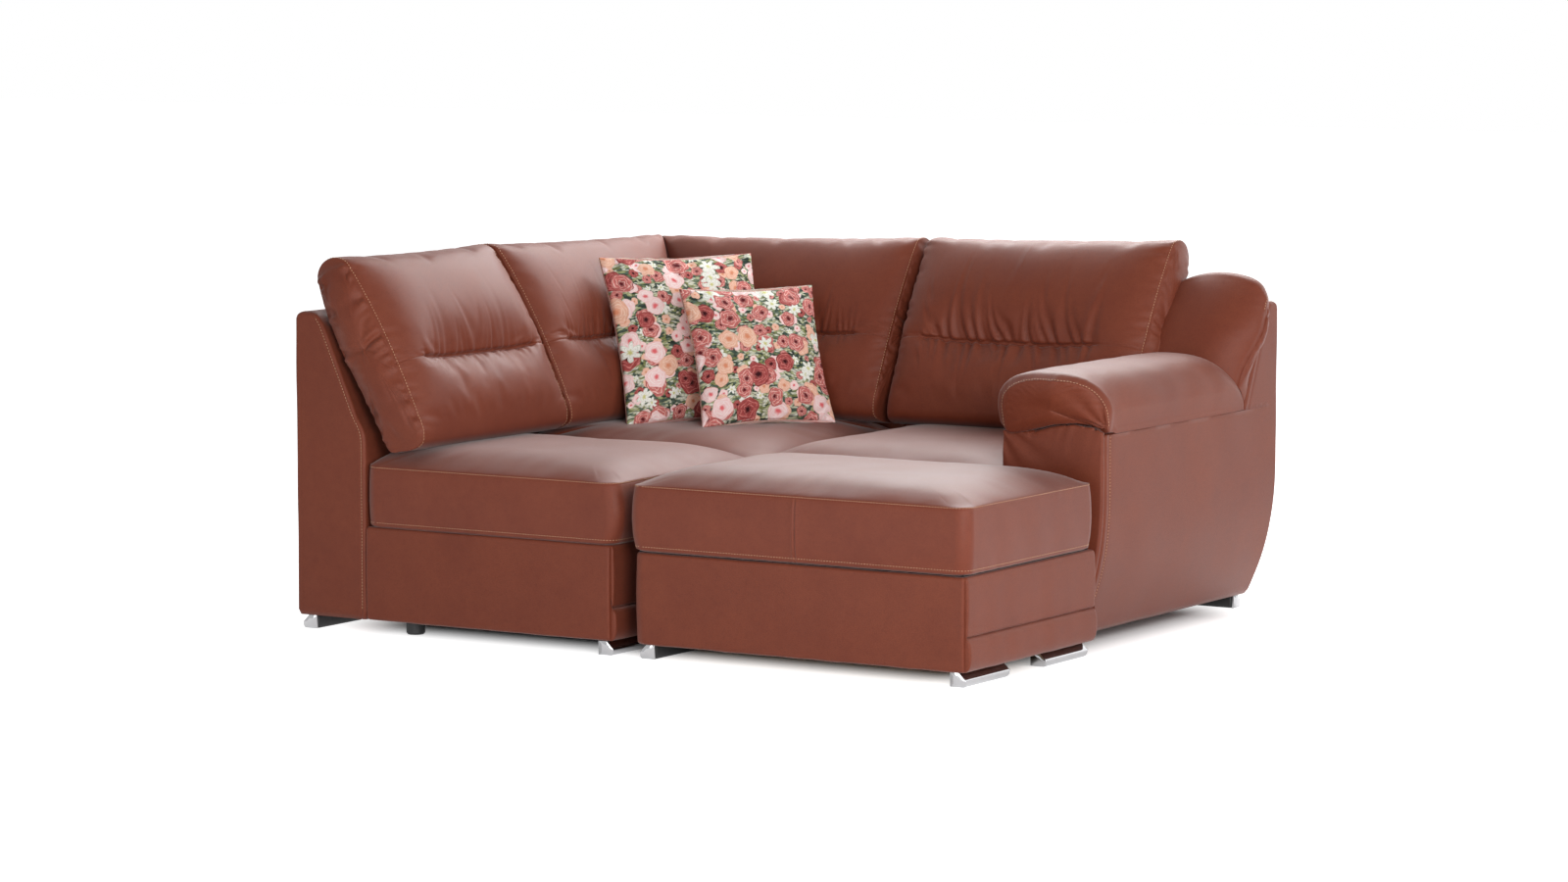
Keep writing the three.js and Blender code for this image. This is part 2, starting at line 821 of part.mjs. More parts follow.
// A bolt with its hexagon head and nut, its shank along Z from 0, for two rails side by side
function unitBolt() {
  const grip = 2 * railThickness + unitGap + 2 * fitGap;
  const radius = boltHeadWidth / 2;
  const head = new THREE.CylinderGeometry(radius, radius, boltHeadHeight, 6);
  head.rotateX(Math.PI / 2).translate(0, 0, -boltHeadHeight / 2);
  const nut = new THREE.CylinderGeometry(radius, radius, boltHeadHeight, 6);
  nut.rotateX(Math.PI / 2).translate(0, 0, grip + boltHeadHeight / 2);
  const length = grip + 3 * boltHeadHeight;
  const shank = new THREE.CylinderGeometry(boltDiameter / 2, boltDiameter / 2, length, 12);
  shank.rotateX(Math.PI / 2).translate(0, 0, length / 2 - boltHeadHeight / 2);
  return join(head, nut, shank);
}

// Feet

function roundLeg() {
  const top = groundClearance - fitGap;
  const profile = [
    [0, 0],
    [legFootDiameter / 2, 0],
    [legDiameter / 2, legFootHeight],
    [legDiameter / 2, top],
    [0, top],
  ];
  const points = profile.map(([r, z]) => new THREE.Vector2(r, z));
  return new THREE.LatheGeometry(points, 20).rotateX(Math.PI / 2);
}

// A bar along Y from 0, its curved face towards +X and the far end rounded up from the floor
function barFoot() {
  const top = groundClearance - fitGap;
  const section = new THREE.Shape();
  section.moveTo(0, 0);
  section.lineTo(barFootWidth - barFootNose, 0);
  section.bezierCurveTo(
    barFootWidth,
    top * barFootBulgeShares[0],
    barFootWidth,
    top * barFootBulgeShares[1],
    barFootWidth - barFootNose / 2,
    top,
  );
  section.lineTo(0, top);
  const side = new THREE.Shape();
  side.moveTo(0, -overrun);
  side.lineTo(barFootLength - barFootEndRadius, -overrun);
  side.lineTo(barFootLength - barFootEndRadius, 0);
  side.absarc(
    barFootLength - barFootEndRadius,
    barFootEndRadius,
    barFootEndRadius,
    -Math.PI / 2,
    0,
    false,
  );
  side.lineTo(barFootLength, top + overrun);
  side.lineTo(0, top + overrun);
  const bar = prismAlongY(section, 0, barFootLength);
  return common(bar, prismAlongX(side, -overrun, barFootWidth + overrun));
}

// Scatter cushions: two crowned sheets that meet in a thin seam with pulled-out corners.
// Width along X, height along Z from 0, thickness along Y.
function scatterCushion(width, height, thickness) {
  const cells = 10;
  const shares = Array.from({ length: cells + 1 }, (_, i) => -Math.cos((Math.PI * i) / cells));
  const place = (u, v, face) => {
    const pinchU = 1 - (scatterPinch / (width / 2)) * (1 - v * v);
    const pinchV = 1 - (scatterPinch / (height / 2)) * (1 - u * u);
    const loftShare = Math.max(0, (1 - u * u) * (1 - v * v)) ** scatterFullness;
    const half = scatterEdge / 2 + (thickness / 2 - scatterEdge / 2) * loftShare;
    return new THREE.Vector3((width / 2) * u * pinchU, face * half, (height / 2) * (1 + v * pinchV));
  };
  const border = [];
  for (let i = 0; i < cells; i++) border.push([i, 0]);
  for (let i = 0; i < cells; i++) border.push([cells, i]);
  for (let i = cells; i > 0; i--) border.push([i, cells]);
  for (let i = cells; i > 0; i--) border.push([0, i]);
  const points = [];
  [-1, 1].forEach((face) => {
    shares.forEach((v) => shares.forEach((u) => points.push(place(u, v, face))));
  });
  const sheet = (cells + 1) ** 2;
  const at = (face, i, j) => (face > 0 ? sheet : 0) + j * (cells + 1) + i;
  const index = [];
  for (let j = 0; j < cells; j++) {
    for (let i = 0; i < cells; i++) {
      const front = [at(-1, i, j), at(-1, i + 1, j), at(-1, i + 1, j + 1), at(-1, i, j + 1)];
      const rear = [at(1, i, j), at(1, i + 1, j), at(1, i + 1, j + 1), at(1, i, j + 1)];
      index.push(front[0], front[1], front[2], front[0], front[2], front[3]);
      index.push(rear[0], rear[2], rear[1], rear[0], rear[3], rear[2]);
    }
  }
  border.forEach(([i, j], k) => {
    const [p, q] = border[(k + 1) % border.length];
    index.push(at(-1, i, j), at(1, p, q), at(-1, p, q), at(-1, i, j), at(1, i, j), at(1, p, q));
  });
  const geometry = new THREE.BufferGeometry().setFromPoints(points);
  geometry.setIndex(index);
  geometry.computeVertexNormals();
  return geometry;
}

// The same form lowered until its nearest point straight above the support is fitGap from it
function restedOn(support, geometry) {
  const below = new THREE.Mesh(support);
  const positions = geometry.attributes.position;
  const down = axisZ.clone().negate();
  const ray = new THREE.Raycaster();
  let drop = Infinity;
  for (let i = 0; i < positions.count; i++) {
    ray.set(new THREE.Vector3().fromBufferAttribute(positions, i), down);
    const hit = ray.intersectObject(below)[0];
    if (hit) drop = Math.min(drop, hit.distance);
  }
  return geometry.translate(0, 0, fitGap - drop);
}

function named(name, geometry, look) {
  const mesh = new THREE.Mesh(geometry, new THREE.MeshStandardMaterial(finish[look]));
  mesh.name = name;
  return mesh;
}

// End unit

const endUnit = new THREE.Group();
const endSeatPlan = { x0: backFootThickness + panelGap, x1: leftUnitsWidth, y0: 0, y1: endUnitDepth };
const endFramePlan = {
  x0: backFootThickness + fitGap,
  x1: leftUnitsWidth - coverThickness - fitGap,
  y0: coverThickness + fitGap,
  y1: endUnitDepth,
};
const endLegs = {
  leg_end_front: { x: endFramePlan.x0 + endLegOffset, y: endFramePlan.y0 + legInset },
  leg_end_rear_left: { x: endFramePlan.x0 + legInset, y: endFramePlan.y1 - legInset },
  leg_end_rear_right: { x: endFramePlan.x1 - legInset, y: endFramePlan.y1 - legInset },
};
const endBolts = [backFootThickness + boltEdgeMargin, leftUnitsWidth - boltEdgeMargin].map((x) => {
  return new THREE.Vector3(x, endUnitDepth - railThickness - fitGap, boltHeight);
});

const endSeat = seatCushion(
  endSeatPlan,
  seatLowerSeam,
  { left: 0, right: seatFreeBulge, front: seatFreeBulge / 4, rear: seatHiddenBulge },
  { ...wholeEdge, left: seatBackEdgeShare },
);
const endHoles = endBolts.map((at) => boltHole(at, "y"));
const endBackPad = {
  ...backPad,
  width: endUnitDepth - backCushionSeamInset - unitGap,
  startBulge: backCushionEndBulge,
};
const endBackCushion = restedOn(
  endSeat,
  leaningPad(endBackPad, leftPadBase(backCushionSeamInset), axisY, towardsRight),
);

endUnit.add(
  named("end_seat_cushion", endSeat, "leather"),
  named(
    "end_base_front",
    prismAlongX(
      plainSection(0, seatLowerSeam - fitGap),
      backFootThickness + panelGap,
      leftUnitsWidth - coverThickness - panelGap,
    ),
    "leather",
  ),
  named(
    "end_base_side",
    prismAlongY(bandedSection(leftUnitsWidth, seatLowerSeam - fitGap), 0, endUnitDepth),
    "leather",
  ),
  named("end_frame", timberFrame(endFramePlan, Object.values(endLegs), endHoles), "timber"),
  named("end_springs", springDeck(endFramePlan, "x"), "steel"),
  named("end_lining", lining(endFramePlan), "lining"),
  named("end_back_shell", prismAlongY(backShellShape(), 0, endUnitDepth, 5), "leather"),
  named("end_back_cushion", endBackCushion, "leather"),
);

// Corner unit

const cornerUnit = new THREE.Group();
const cornerFront = endUnitDepth + unitGap;
const cornerPlan = {
  x0: backFootThickness + panelGap,
  x1: leftUnitsWidth,
  y0: cornerFront,
  y1: sofaDepth - backFootThickness - panelGap,
};
const cornerFramePlan = {
  ...cornerPlan,
  x0: backFootThickness + fitGap,
  y1: sofaDepth - backFootThickness - fitGap,
};
const cornerLegs = {
  leg_corner_front_left: { x: cornerFramePlan.x0 + legInset, y: cornerFramePlan.y0 + legInset },
  leg_corner_front_right: { x: cornerFramePlan.x1 - legInset, y: cornerFramePlan.y0 + legInset },
  leg_corner_rear_right: { x: cornerFramePlan.x1 - legInset, y: cornerFramePlan.y1 - legInset },
};
const cornerBoltPlaces = [armUnitFront + boltEdgeMargin, cornerPlan.y1 - boltEdgeMargin];
const cornerBolts = cornerBoltPlaces.map((y) => {
  return new THREE.Vector3(leftUnitsWidth - railThickness - fitGap, y, boltHeight);
});
const armHoles = cornerBolts.map((at) => boltHole(at, "x"));
const cornerHoles = [...endHoles, ...armHoles];
const cornerSeat = seatCushion(
  cornerPlan,
  seatLowerSeam,
  { left: 0, right: seatHiddenBulge, front: seatHiddenBulge, rear: 0 },
  { ...wholeEdge, left: seatBackEdgeShare, rear: seatBackEdgeShare },
);
const cornerLeftCushion = leaningPad(
  { ...backPad, width: sofaDepth - cornerFront },
  leftPadBase(cornerFront),
  axisY,
  towardsRight,
);
const cornerRearCushion = leaningPad(
  { ...backPad, width: leftUnitsWidth - unitGap },
  rearPadBase(0),
  axisX,
  towardsFront,
);

cornerUnit.add(
  named("corner_seat_cushion", cornerSeat, "leather"),
  named("corner_frame", timberFrame(cornerFramePlan, Object.values(cornerLegs), cornerHoles), "timber"),
  named("corner_springs", springDeck(cornerFramePlan, "x"), "steel"),
  named("corner_lining", lining(cornerFramePlan), "lining"),
  named(
    "corner_back_shell_left",
    cut(prismAlongY(backShellShape(), cornerFront, sofaDepth, 5), cornerWedge(true, fitGap)),
    "leather",
  ),
  named(
    "corner_back_shell_rear",
    cut(prismAlongX(rearShellShape(), 0, leftUnitsWidth, 5), cornerWedge(false, fitGap)),
    "leather",
  ),
  named(
    "corner_back_cushion_left",
    restedOn(cornerSeat, cut(cornerLeftCushion, cornerWedge(true, unitGap))),
    "leather",
  ),
  named(
    "corner_back_cushion_rear",
    restedOn(cornerSeat, cut(cornerRearCushion, cornerWedge(false, unitGap))),
    "leather",
  ),
);

// Arm unit

const armUnit = new THREE.Group();
const armUnitLeft = leftUnitsWidth + unitGap;
const armSeatPlan = {
  x0: armUnitLeft,
  x1: armInner - panelGap,
  y0: armUnitFront,
  y1: sofaDepth - backFootThickness - panelGap,
};
const armFramePlan = {
  x0: armUnitLeft,
  x1: armInner - fitGap,
  y0: armUnitFront + coverThickness + fitGap,
  y1: sofaDepth - backFootThickness - fitGap,
};
const armLegs = {
  leg_arm_front_left: { x: armFramePlan.x0 + legInset, y: armFramePlan.y0 + legInset },
  leg_arm_rear_left: { x: armFramePlan.x0 + legInset, y: armFramePlan.y1 - legInset },
};
const armrestLeg = { x: armInner + endLegOffset, y: armUnitFront + 2 * legInset };
const armSeat = seatCushion(
  armSeatPlan,
  seatLowerSeam,
  { left: seatHiddenBulge, right: 0, front: seatFreeBulge / 2, rear: 0 },
  { ...wholeEdge, rear: seatBackEdgeShare },
);
const armBackPad = {
  ...backPad,
  width: armInner - armUnitLeft - backCushionSeamInset,
  flare: cushionFlare,
  endBulge: backCushionEndBulge,
};
const armBackCushion = restedOn(
  armSeat,
  leaningPad(armBackPad, rearPadBase(armUnitLeft), axisX, towardsFront),
);

// The arm and a gap beside it, which the back cushion stays out of
const armSpace = box(
  armInner - panelGap,
  armOuter,
  armUnitFront,
  sofaDepth,
  groundClearance,
  armHeight + fitGap,
);

armUnit.add(
  named("arm_seat_cushion", armSeat, "leather"),
  named(
    "arm_base_front",
    prismAlongX(plainSection(armUnitFront, seatLowerSeam - fitGap), armSeatPlan.x0, armSeatPlan.x1),
    "leather",
  ),
  named(
    "arm_frame",
    timberFrame(armFramePlan, Object.values(armLegs), armHoles),
    "timber",
  ),
  named("arm_springs", springDeck(armFramePlan, "y"), "steel"),
  named("arm_lining", lining(armFramePlan), "lining"),
  named(
    "arm_back_shell",
    prismAlongX(rearShellShape(), armUnitLeft, armInner - panelGap, 5),
    "leather",
  ),
  named(
    "arm_back_cushion",
    cut(armBackCushion, armPad(panelGap), armEar(panelGap), armSpace),
    "leather",
  ),
  named("armrest_body", armBody(), "leather"),
  named(
    "armrest_front_panel",
    prismAlongY(armEndShape(armHeight), armUnitFront - armFacingThickness, armUnitFront - fitGap),
    "leather",
  ),
  named("armrest_pad", armPad(0), "leather"),
  named("armrest_ear", armEar(0), "leather"),
);

// Bolts between the units

const bolts = new THREE.Group();
endBolts.forEach((at, i) => {
  const bolt = named(`bolt_end_corner_${i + 1}`, unitBolt(), "steel");
  bolt.position.copy(at);
  bolt.rotation.x = -Math.PI / 2;
  bolts.add(bolt);
});
cornerBolts.forEach((at, i) => {
  const bolt = named(`bolt_corner_arm_${i + 1}`, unitBolt(), "steel");
  bolt.position.copy(at);
  bolt.rotation.y = Math.PI / 2;
  bolts.add(bolt);
});

// Legs and bar feet of the seats

const supports = new THREE.Group();
const legPlaces = { ...endLegs, ...cornerLegs, ...armLegs, leg_armrest: armrestLeg };
Object.entries(legPlaces).forEach(([name, { x, y }]) => {
  const leg = named(name, roundLeg(), "plastic");
  leg.position.set(x, y, 0);
  supports.add(leg);
});

// Outward is the direction that the curved face looks in
function addBarFoot(group, name, x, y, turned, mirrored) {
  const geometry = barFoot();
  if (mirrored) geometry.applyMatrix4(new THREE.Matrix4().makeScale(-1, 1, 1));
  if (mirrored) flipFaces(geometry);
  const foot = named(name, geometry, "chrome");
  foot.position.set(x, y, 0);
  if (turned) foot.rotation.z = Math.PI / 2;
  group.add(foot);
}

function flipFaces(geometry) {
  const index = geometry.index.array;
  for (let i = 0; i < index.length; i += 3) {
    [index[i + 1], index[i + 2]] = [index[i + 2], index[i + 1]];
  }
  geometry.computeVertexNormals();
}

addBarFoot(supports, "foot_end_back", barFootSideInset + barFootWidth, barFootSetback, false, true);
addBarFoot(
  supports,
  "foot_end_front",
  leftUnitsWidth - barFootSideInset - barFootWidth,
  barFootSetback,
  false,
  false,
);
addBarFoot(
  supports,
  "foot_corner_rear",
  barFootSideInset + barFootWidth,
  sofaDepth - barFootSetback - barFootLength,
  false,
  true,
);
addBarFoot(
  supports,
  "foot_arm_rear",
  armOuter - armTuckDepth - barFootSetback,
  sofaDepth - barFootSideInset - barFootWidth,
  true,
  false,
);

// Ottoman: a box of upholstered boards on bar feet, with a seat that lifts off

const ottoman = new THREE.Group();
ottoman.position.set(leftUnitsWidth + ottomanGap, -ottomanFrontStep, 0);
const ottomanInner = {
  x0: coverThickness,
  x1: ottomanWidth - coverThickness,
  y0: coverThickness,
  y1: ottomanDepth - coverThickness,
};

// A board along X with its free left end rounded in plan
function ottomanLongBoard(front) {
  const right = ottomanWidth - coverThickness - panelGap;
  const section = plainSection(0, ottomanBaseTop);
  const board = prismAlongX(section, 0, right);
  const plan = new THREE.Shape();
  plan.moveTo(right + overrun, -overrun);
  plan.lineTo(right + overrun, coverThickness + overrun);
  plan.lineTo(0, coverThickness + overrun);
  plan.lineTo(0, ottomanCornerRadius);
  plan.absarc(ottomanCornerRadius, ottomanCornerRadius, ottomanCornerRadius, Math.PI, 1.5 * Math.PI, false);
  plan.lineTo(ottomanCornerRadius, -overrun);
  const rounded = common(board, prismAlongZ(plan, 0, ottomanBaseTop + overrun));
  if (front) return rounded;
  const mirrored = rounded.applyMatrix4(new THREE.Matrix4().makeScale(1, -1, 1));
  flipFaces(mirrored);
  return mirrored.translate(0, ottomanDepth, 0);
}

const ottomanLeftBoard = box(
  0,
  coverThickness,
  ottomanCornerRadius + panelGap,
  ottomanDepth - ottomanCornerRadius - panelGap,
  groundClearance,
  ottomanBaseTop,
);
const ottomanFloor = box(
  ottomanInner.x0 + panelGap,
  ottomanInner.x1 - panelGap,
  ottomanInner.y0 + panelGap,
  ottomanInner.y1 - panelGap,
  groundClearance,
  groundClearance + floorPanelThickness,
);
ottoman.add(
  named("ottoman_front_board", ottomanLongBoard(true), "leather"),
  named("ottoman_rear_board", ottomanLongBoard(false), "leather"),
  named("ottoman_left_board", ottomanLeftBoard, "leather"),
  named(
    "ottoman_right_board",
    prismAlongY(bandedSection(ottomanWidth, ottomanBaseTop), 0, ottomanDepth),
    "leather",
  ),
  named("ottoman_floor", ottomanFloor, "timber"),
);

const ottomanFeetRight = ottomanWidth - ottomanFootSideInset - barFootWidth;
const ottomanFeetLeft = ottomanFootSideInset + barFootWidth;
const ottomanRearFeet = ottomanDepth - barFootSetback - barFootLength;
const ottomanFrontFeet = barFootSetback + ottomanFrontStep;
addBarFoot(ottoman, "foot_ottoman_front_right", ottomanFeetRight, ottomanFrontFeet, false, false);
addBarFoot(ottoman, "foot_ottoman_rear_right", ottomanFeetRight, ottomanRearFeet, false, false);
addBarFoot(ottoman, "foot_ottoman_front_left", ottomanFeetLeft, ottomanFrontFeet, false, true);
addBarFoot(ottoman, "foot_ottoman_rear_left", ottomanFeetLeft, ottomanRearFeet, false, true);

// The lid board carries the cushion, and its four blocks find the inside corners of the box
const lid = new THREE.Group();
const lidBottom = ottomanBaseTop + fitGap;
const lidPlate = box(
  lidBoardInset,
  ottomanWidth - lidBoardInset,
  lidBoardInset,
  ottomanDepth - lidBoardInset,
  lidBottom,
  lidBottom + lidBoardThickness,
);
const blockAt = (x, y) => {
  return box(x, x + locatingBlockSize, y, y + locatingBlockSize, lidBottom - locatingBlockDepth, lidBottom);
};
const blockLow = coverThickness + locatingClearance;
const blockFarX = ottomanWidth - blockLow - locatingBlockSize;
const blockFarY = ottomanDepth - blockLow - locatingBlockSize;
lid.add(
  named(
    "ottoman_lid_board",
    join(
      lidPlate,
      blockAt(blockLow, blockLow),
      blockAt(blockFarX, blockLow),
      blockAt(blockLow, blockFarY),
      blockAt(blockFarX, blockFarY),
    ),
    "timber",
  ),
  named(
    "ottoman_cushion",
    seatCushion(
      { x0: 0, x1: ottomanWidth, y0: 0, y1: ottomanDepth },
      lidBottom + lidBoardThickness + fitGap,
      {
        left: ottomanSideBulge,
        right: ottomanSideBulge,
        front: ottomanSideBulge,
        rear: ottomanSideBulge,
      },
    ),
    "leather",
  ),
);
ottoman.add(lid);

// The whole sofa, with its origin on the floor under the middle of its plan

const sofa = new THREE.Group();
sofa.add(endUnit, cornerUnit, armUnit, bolts, supports, ottoman);

const scatterPlaces = {
  scatter_cushion_rear: {
    width: rearScatterWidth,
    height: rearScatterHeight,
    thickness: rearScatterThickness,
    x: rearScatterX,
    y: sofaDepth - rearScatterSetback,
    turn: rearScatterTurn,
    lean: rearScatterLean,
  },
  scatter_cushion_front: {
    width: frontScatterWidth,
    height: frontScatterHeight,
    thickness: frontScatterThickness,
    x: frontScatterX,
    y: sofaDepth - frontScatterSetback,
    turn: frontScatterTurn,
    lean: frontScatterLean,
  },
};
Object.entries(scatterPlaces).forEach(([name, { width, height, thickness, x, y, turn, lean }]) => {
  const cushion = scatterCushion(width, height, thickness).rotateX(-lean).rotateZ(turn);
  cushion.translate(x, y, seatTop + overrun);
  sofa.add(named(name, restedOn(cornerSeat, cushion), "print"));
});

sofa.updateMatrixWorld(true);
const reach = new THREE.Box3().setFromObject(sofa, true);
const middle = reach.getCenter(new THREE.Vector3());
sofa.position.set(-middle.x, -middle.y, -reach.min.z);

export default sofa;
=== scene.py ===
import bpy
import numpy as np
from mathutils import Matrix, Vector


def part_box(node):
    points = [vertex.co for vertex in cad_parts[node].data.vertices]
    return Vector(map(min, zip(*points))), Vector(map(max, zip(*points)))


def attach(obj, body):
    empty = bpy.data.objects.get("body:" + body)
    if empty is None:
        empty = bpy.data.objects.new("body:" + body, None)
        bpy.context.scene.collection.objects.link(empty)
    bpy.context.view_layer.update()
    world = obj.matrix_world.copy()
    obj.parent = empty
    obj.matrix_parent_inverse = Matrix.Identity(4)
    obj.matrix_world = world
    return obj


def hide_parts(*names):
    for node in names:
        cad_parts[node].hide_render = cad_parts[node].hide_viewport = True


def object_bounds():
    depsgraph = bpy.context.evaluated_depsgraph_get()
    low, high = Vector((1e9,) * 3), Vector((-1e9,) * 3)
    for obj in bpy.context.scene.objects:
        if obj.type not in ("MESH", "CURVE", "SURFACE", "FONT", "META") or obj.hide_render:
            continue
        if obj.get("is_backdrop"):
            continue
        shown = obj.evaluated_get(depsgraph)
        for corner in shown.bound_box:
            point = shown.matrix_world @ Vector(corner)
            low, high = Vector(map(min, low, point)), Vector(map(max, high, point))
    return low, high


# Looks of the corner sofa. Metres, in the layout of the CAD: X from the outer left side along the
# front, Y from the front to the rear, Z up. Every new piece is a surface worked out with numpy.

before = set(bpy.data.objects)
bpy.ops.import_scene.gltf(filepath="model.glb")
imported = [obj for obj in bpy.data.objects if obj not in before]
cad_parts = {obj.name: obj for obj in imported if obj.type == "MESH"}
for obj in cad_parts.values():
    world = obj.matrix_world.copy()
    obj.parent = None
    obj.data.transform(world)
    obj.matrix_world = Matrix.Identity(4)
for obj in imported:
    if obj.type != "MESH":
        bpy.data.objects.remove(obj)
cad_box = [list(corner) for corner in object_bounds()]

LAYOUT = np.array([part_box("end_back_shell")[0].x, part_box("end_back_shell")[0].y, 0.0])


def extent(node):
    """Lowest and highest corner of a CAD node in the layout."""
    low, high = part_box(node)
    return np.array(low) - LAYOUT, np.array(high) - LAYOUT


# Sizes that the looks share with the CAD

SOFA_DEPTH = 1.600
GROUND = 0.036
SEAT_LOWER_SEAM = 0.269
SEAT_TOP_SEAM = 0.418
EDGE_RISE = 0.017
SEAT_CROWN = 0.024
EDGE_INSET = 0.034
COVER = 0.030
BAND_TOP = 0.117
BACK_LEAN = np.radians(26.5)
ARM_INNER = 1.650
ARM_OUTER = 1.925
ARM_FRONT = 0.662
ARM_TOP = 0.529

# Thread of the seams
STITCH_PITCH = 0.0078
STITCH_LENGTH = 0.0048
THREAD = 0.0007
SEAM_DEPTH = 0.0016


# Arrays of points

def smooth(value):
    """Eases 0 to 1: the clamped share squared, times three less twice the share."""
    share = np.clip(value, 0.0, 1.0)
    return share * share * (3.0 - 2.0 * share)


def bell(distance, width):
    """A bump of height one: e to the minus square of distance over width."""
    return np.exp(-np.square(distance / width))


def ripples(position, lengths, seed):
    """An uneven wave: the mean of cosines of the given wavelengths, each with a seeded phase."""
    phases = np.random.default_rng(seed).random(len(lengths))
    waves = [np.cos(2 * np.pi * (position / l + p)) for l, p in zip(lengths, phases)]
    return sum(waves) / len(lengths)


def mottle(points, size, seed, count=9):
    """Soft unevenness: the mean of cosine waves in seeded directions with wavelengths near size."""
    rng = np.random.default_rng(seed)
    ways = rng.normal(size=(count, 3))
    ways /= np.linalg.norm(ways, axis=1)[:, None] * size * (0.7 + 0.7 * rng.random((count, 1)))
    return np.cos(2 * np.pi * (points @ ways.T + rng.random(count))).mean(-1)


def ticks(low, high, step, near=(), fan=(0.0015, 0.003, 0.005, 0.008, 0.013)):
    """Sample places from low to high at about step, with finer ones on both sides of each seam."""
    even = np.linspace(low, high, max(2, int(round((high - low) / step)) + 1))
    close = [seam + side * d for seam in near for side in (-1, 1) for d in (0.0,) + tuple(fan)]
    close = [p for p in close if low < p < high]
    reach = fan[-1] + step / 2
    kept = [p for p in even if all(abs(p - seam) > reach for seam in near) or p in (low, high)]
    return np.unique(np.round(np.concatenate([kept, close]), 7))


def normals_of(grid):
    """Outward unit normals of rows of closed rings: the cross product of the steps along and round."""
    along = np.gradient(grid, axis=0)
    around = np.roll(grid, -1, 1) - np.roll(grid, 1, 1)
    normal = np.cross(around, along)
    normal /= np.linalg.norm(normal, axis=-1, keepdims=True) + 1e-12
    inside = grid.mean((0, 1))
    return normal if np.sum(normal * (grid - inside)) > 0 else -normal


def ring_lengths(grid):
    """Length along each ring from its first point, for every point."""
    steps = np.linalg.norm(np.roll(grid, -1, 1) - grid, axis=-1)
    return np.cumsum(steps, 1) - steps


def through(controls, per):
    """Closed rings through control points: cubic pieces whose slopes come from the neighbours."""
    t = np.arange(per) / per
    weights = [(-t + 2 * t**2 - t**3) / 2, (2 - 5 * t**2 + 3 * t**3) / 2,
               (t + 4 * t**2 - 3 * t**3) / 2, (t**3 - t**2) / 2]
    shifted = [np.roll(controls, s, 1) for s in (1, 0, -1, -2)]
    dense = sum(w[None, None, :, None] * c[:, :, None, :] for w, c in zip(weights, shifted))
    return dense.reshape(controls.shape[0], -1, controls.shape[2])


# Meshes

def show(name, points, faces, look, body, nodes=()):
    """Puts points, in the layout, and faces into a new smooth piece that rides on a body."""
    mesh = bpy.data.meshes.new(name)
    mesh.from_pydata((points + LAYOUT).tolist(), [], faces)
    mesh.polygons.foreach_set("use_smooth", np.ones(len(mesh.polygons), bool))
    mesh.materials.append(look)
    piece = bpy.data.objects.new(name, mesh)
    bpy.context.scene.collection.objects.link(piece)
    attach(piece, body)
    if nodes:
        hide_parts(*nodes)
    return piece


def ring_faces(grid):
    """Points and outward faces of a closed skin over rows of rings, with a fan at each end."""
    rows, columns, _ = grid.shape
    index = np.arange(rows * columns).reshape(rows, columns)
    turned = np.roll(index, -1, 1)
    quads = np.stack([index[:-1], turned[:-1], turned[1:], index[1:]], -1).reshape(-1, 4)
    first, last = rows * columns, rows * columns + 1
    start = np.stack([turned[0], index[0], np.full(columns, first)], -1)
    end = np.stack([index[-1], turned[-1], np.full(columns, last)], -1)
    points = np.concatenate([grid.reshape(-1, 3), grid[:1].mean(1), grid[-1:].mean(1)])
    corners = points[quads]
    volume = np.sum(corners[:, 0] * np.cross(corners[:, 1], corners[:, 2]))
    volume += np.sum(corners[:, 0] * np.cross(corners[:, 2], corners[:, 3]))
    if volume < 0:
        quads, start, end = quads[:, ::-1], start[:, ::-1], end[:, ::-1]
    return points, quads.tolist() + start.tolist() + end.tolist()


def skin(name, grid, look, body, nodes=()):
    """A closed piece over rows of rings."""
    points, faces = ring_faces(grid)
    return show(name, points, faces, look, body, nodes)


# Thread: each stitch is a short bent bead that dips into the leather at both ends

threads = {}


def stitch(group, path, normals):
    """Keeps a seam's path and the way out of the leather along it for the group's thread."""
    threads.setdefault(group, []).append((np.asarray(path, float), np.asarray(normals, float)))


def along_row(grid, normals, row, first, last, shift=0.0):
    """A path on one ring, from column first to last, with row given as a place between rings."""
    low = int(np.floor(row))
    part = row - low
    columns = np.arange(first, last + 1) % grid.shape[1]
    high = min(low + 1, grid.shape[0] - 1)
    path = grid[low, columns] * (1 - part) + grid[high, columns] * part
    return path + normals[low, columns] * shift, normals[low, columns]


def along_column(grid, normals, column, first, last, shift=0.0):
    """A path across the rings at one column, given as a place between columns."""
    low = int(np.floor(column))
    part = column - low
    count = grid.shape[1]
    rows = slice(first, last + 1)
    path = grid[rows, low % count] * (1 - part) + grid[rows, (low + 1) % count] * part
    return path + normals[rows, low % count] * shift, normals[rows, low % count]


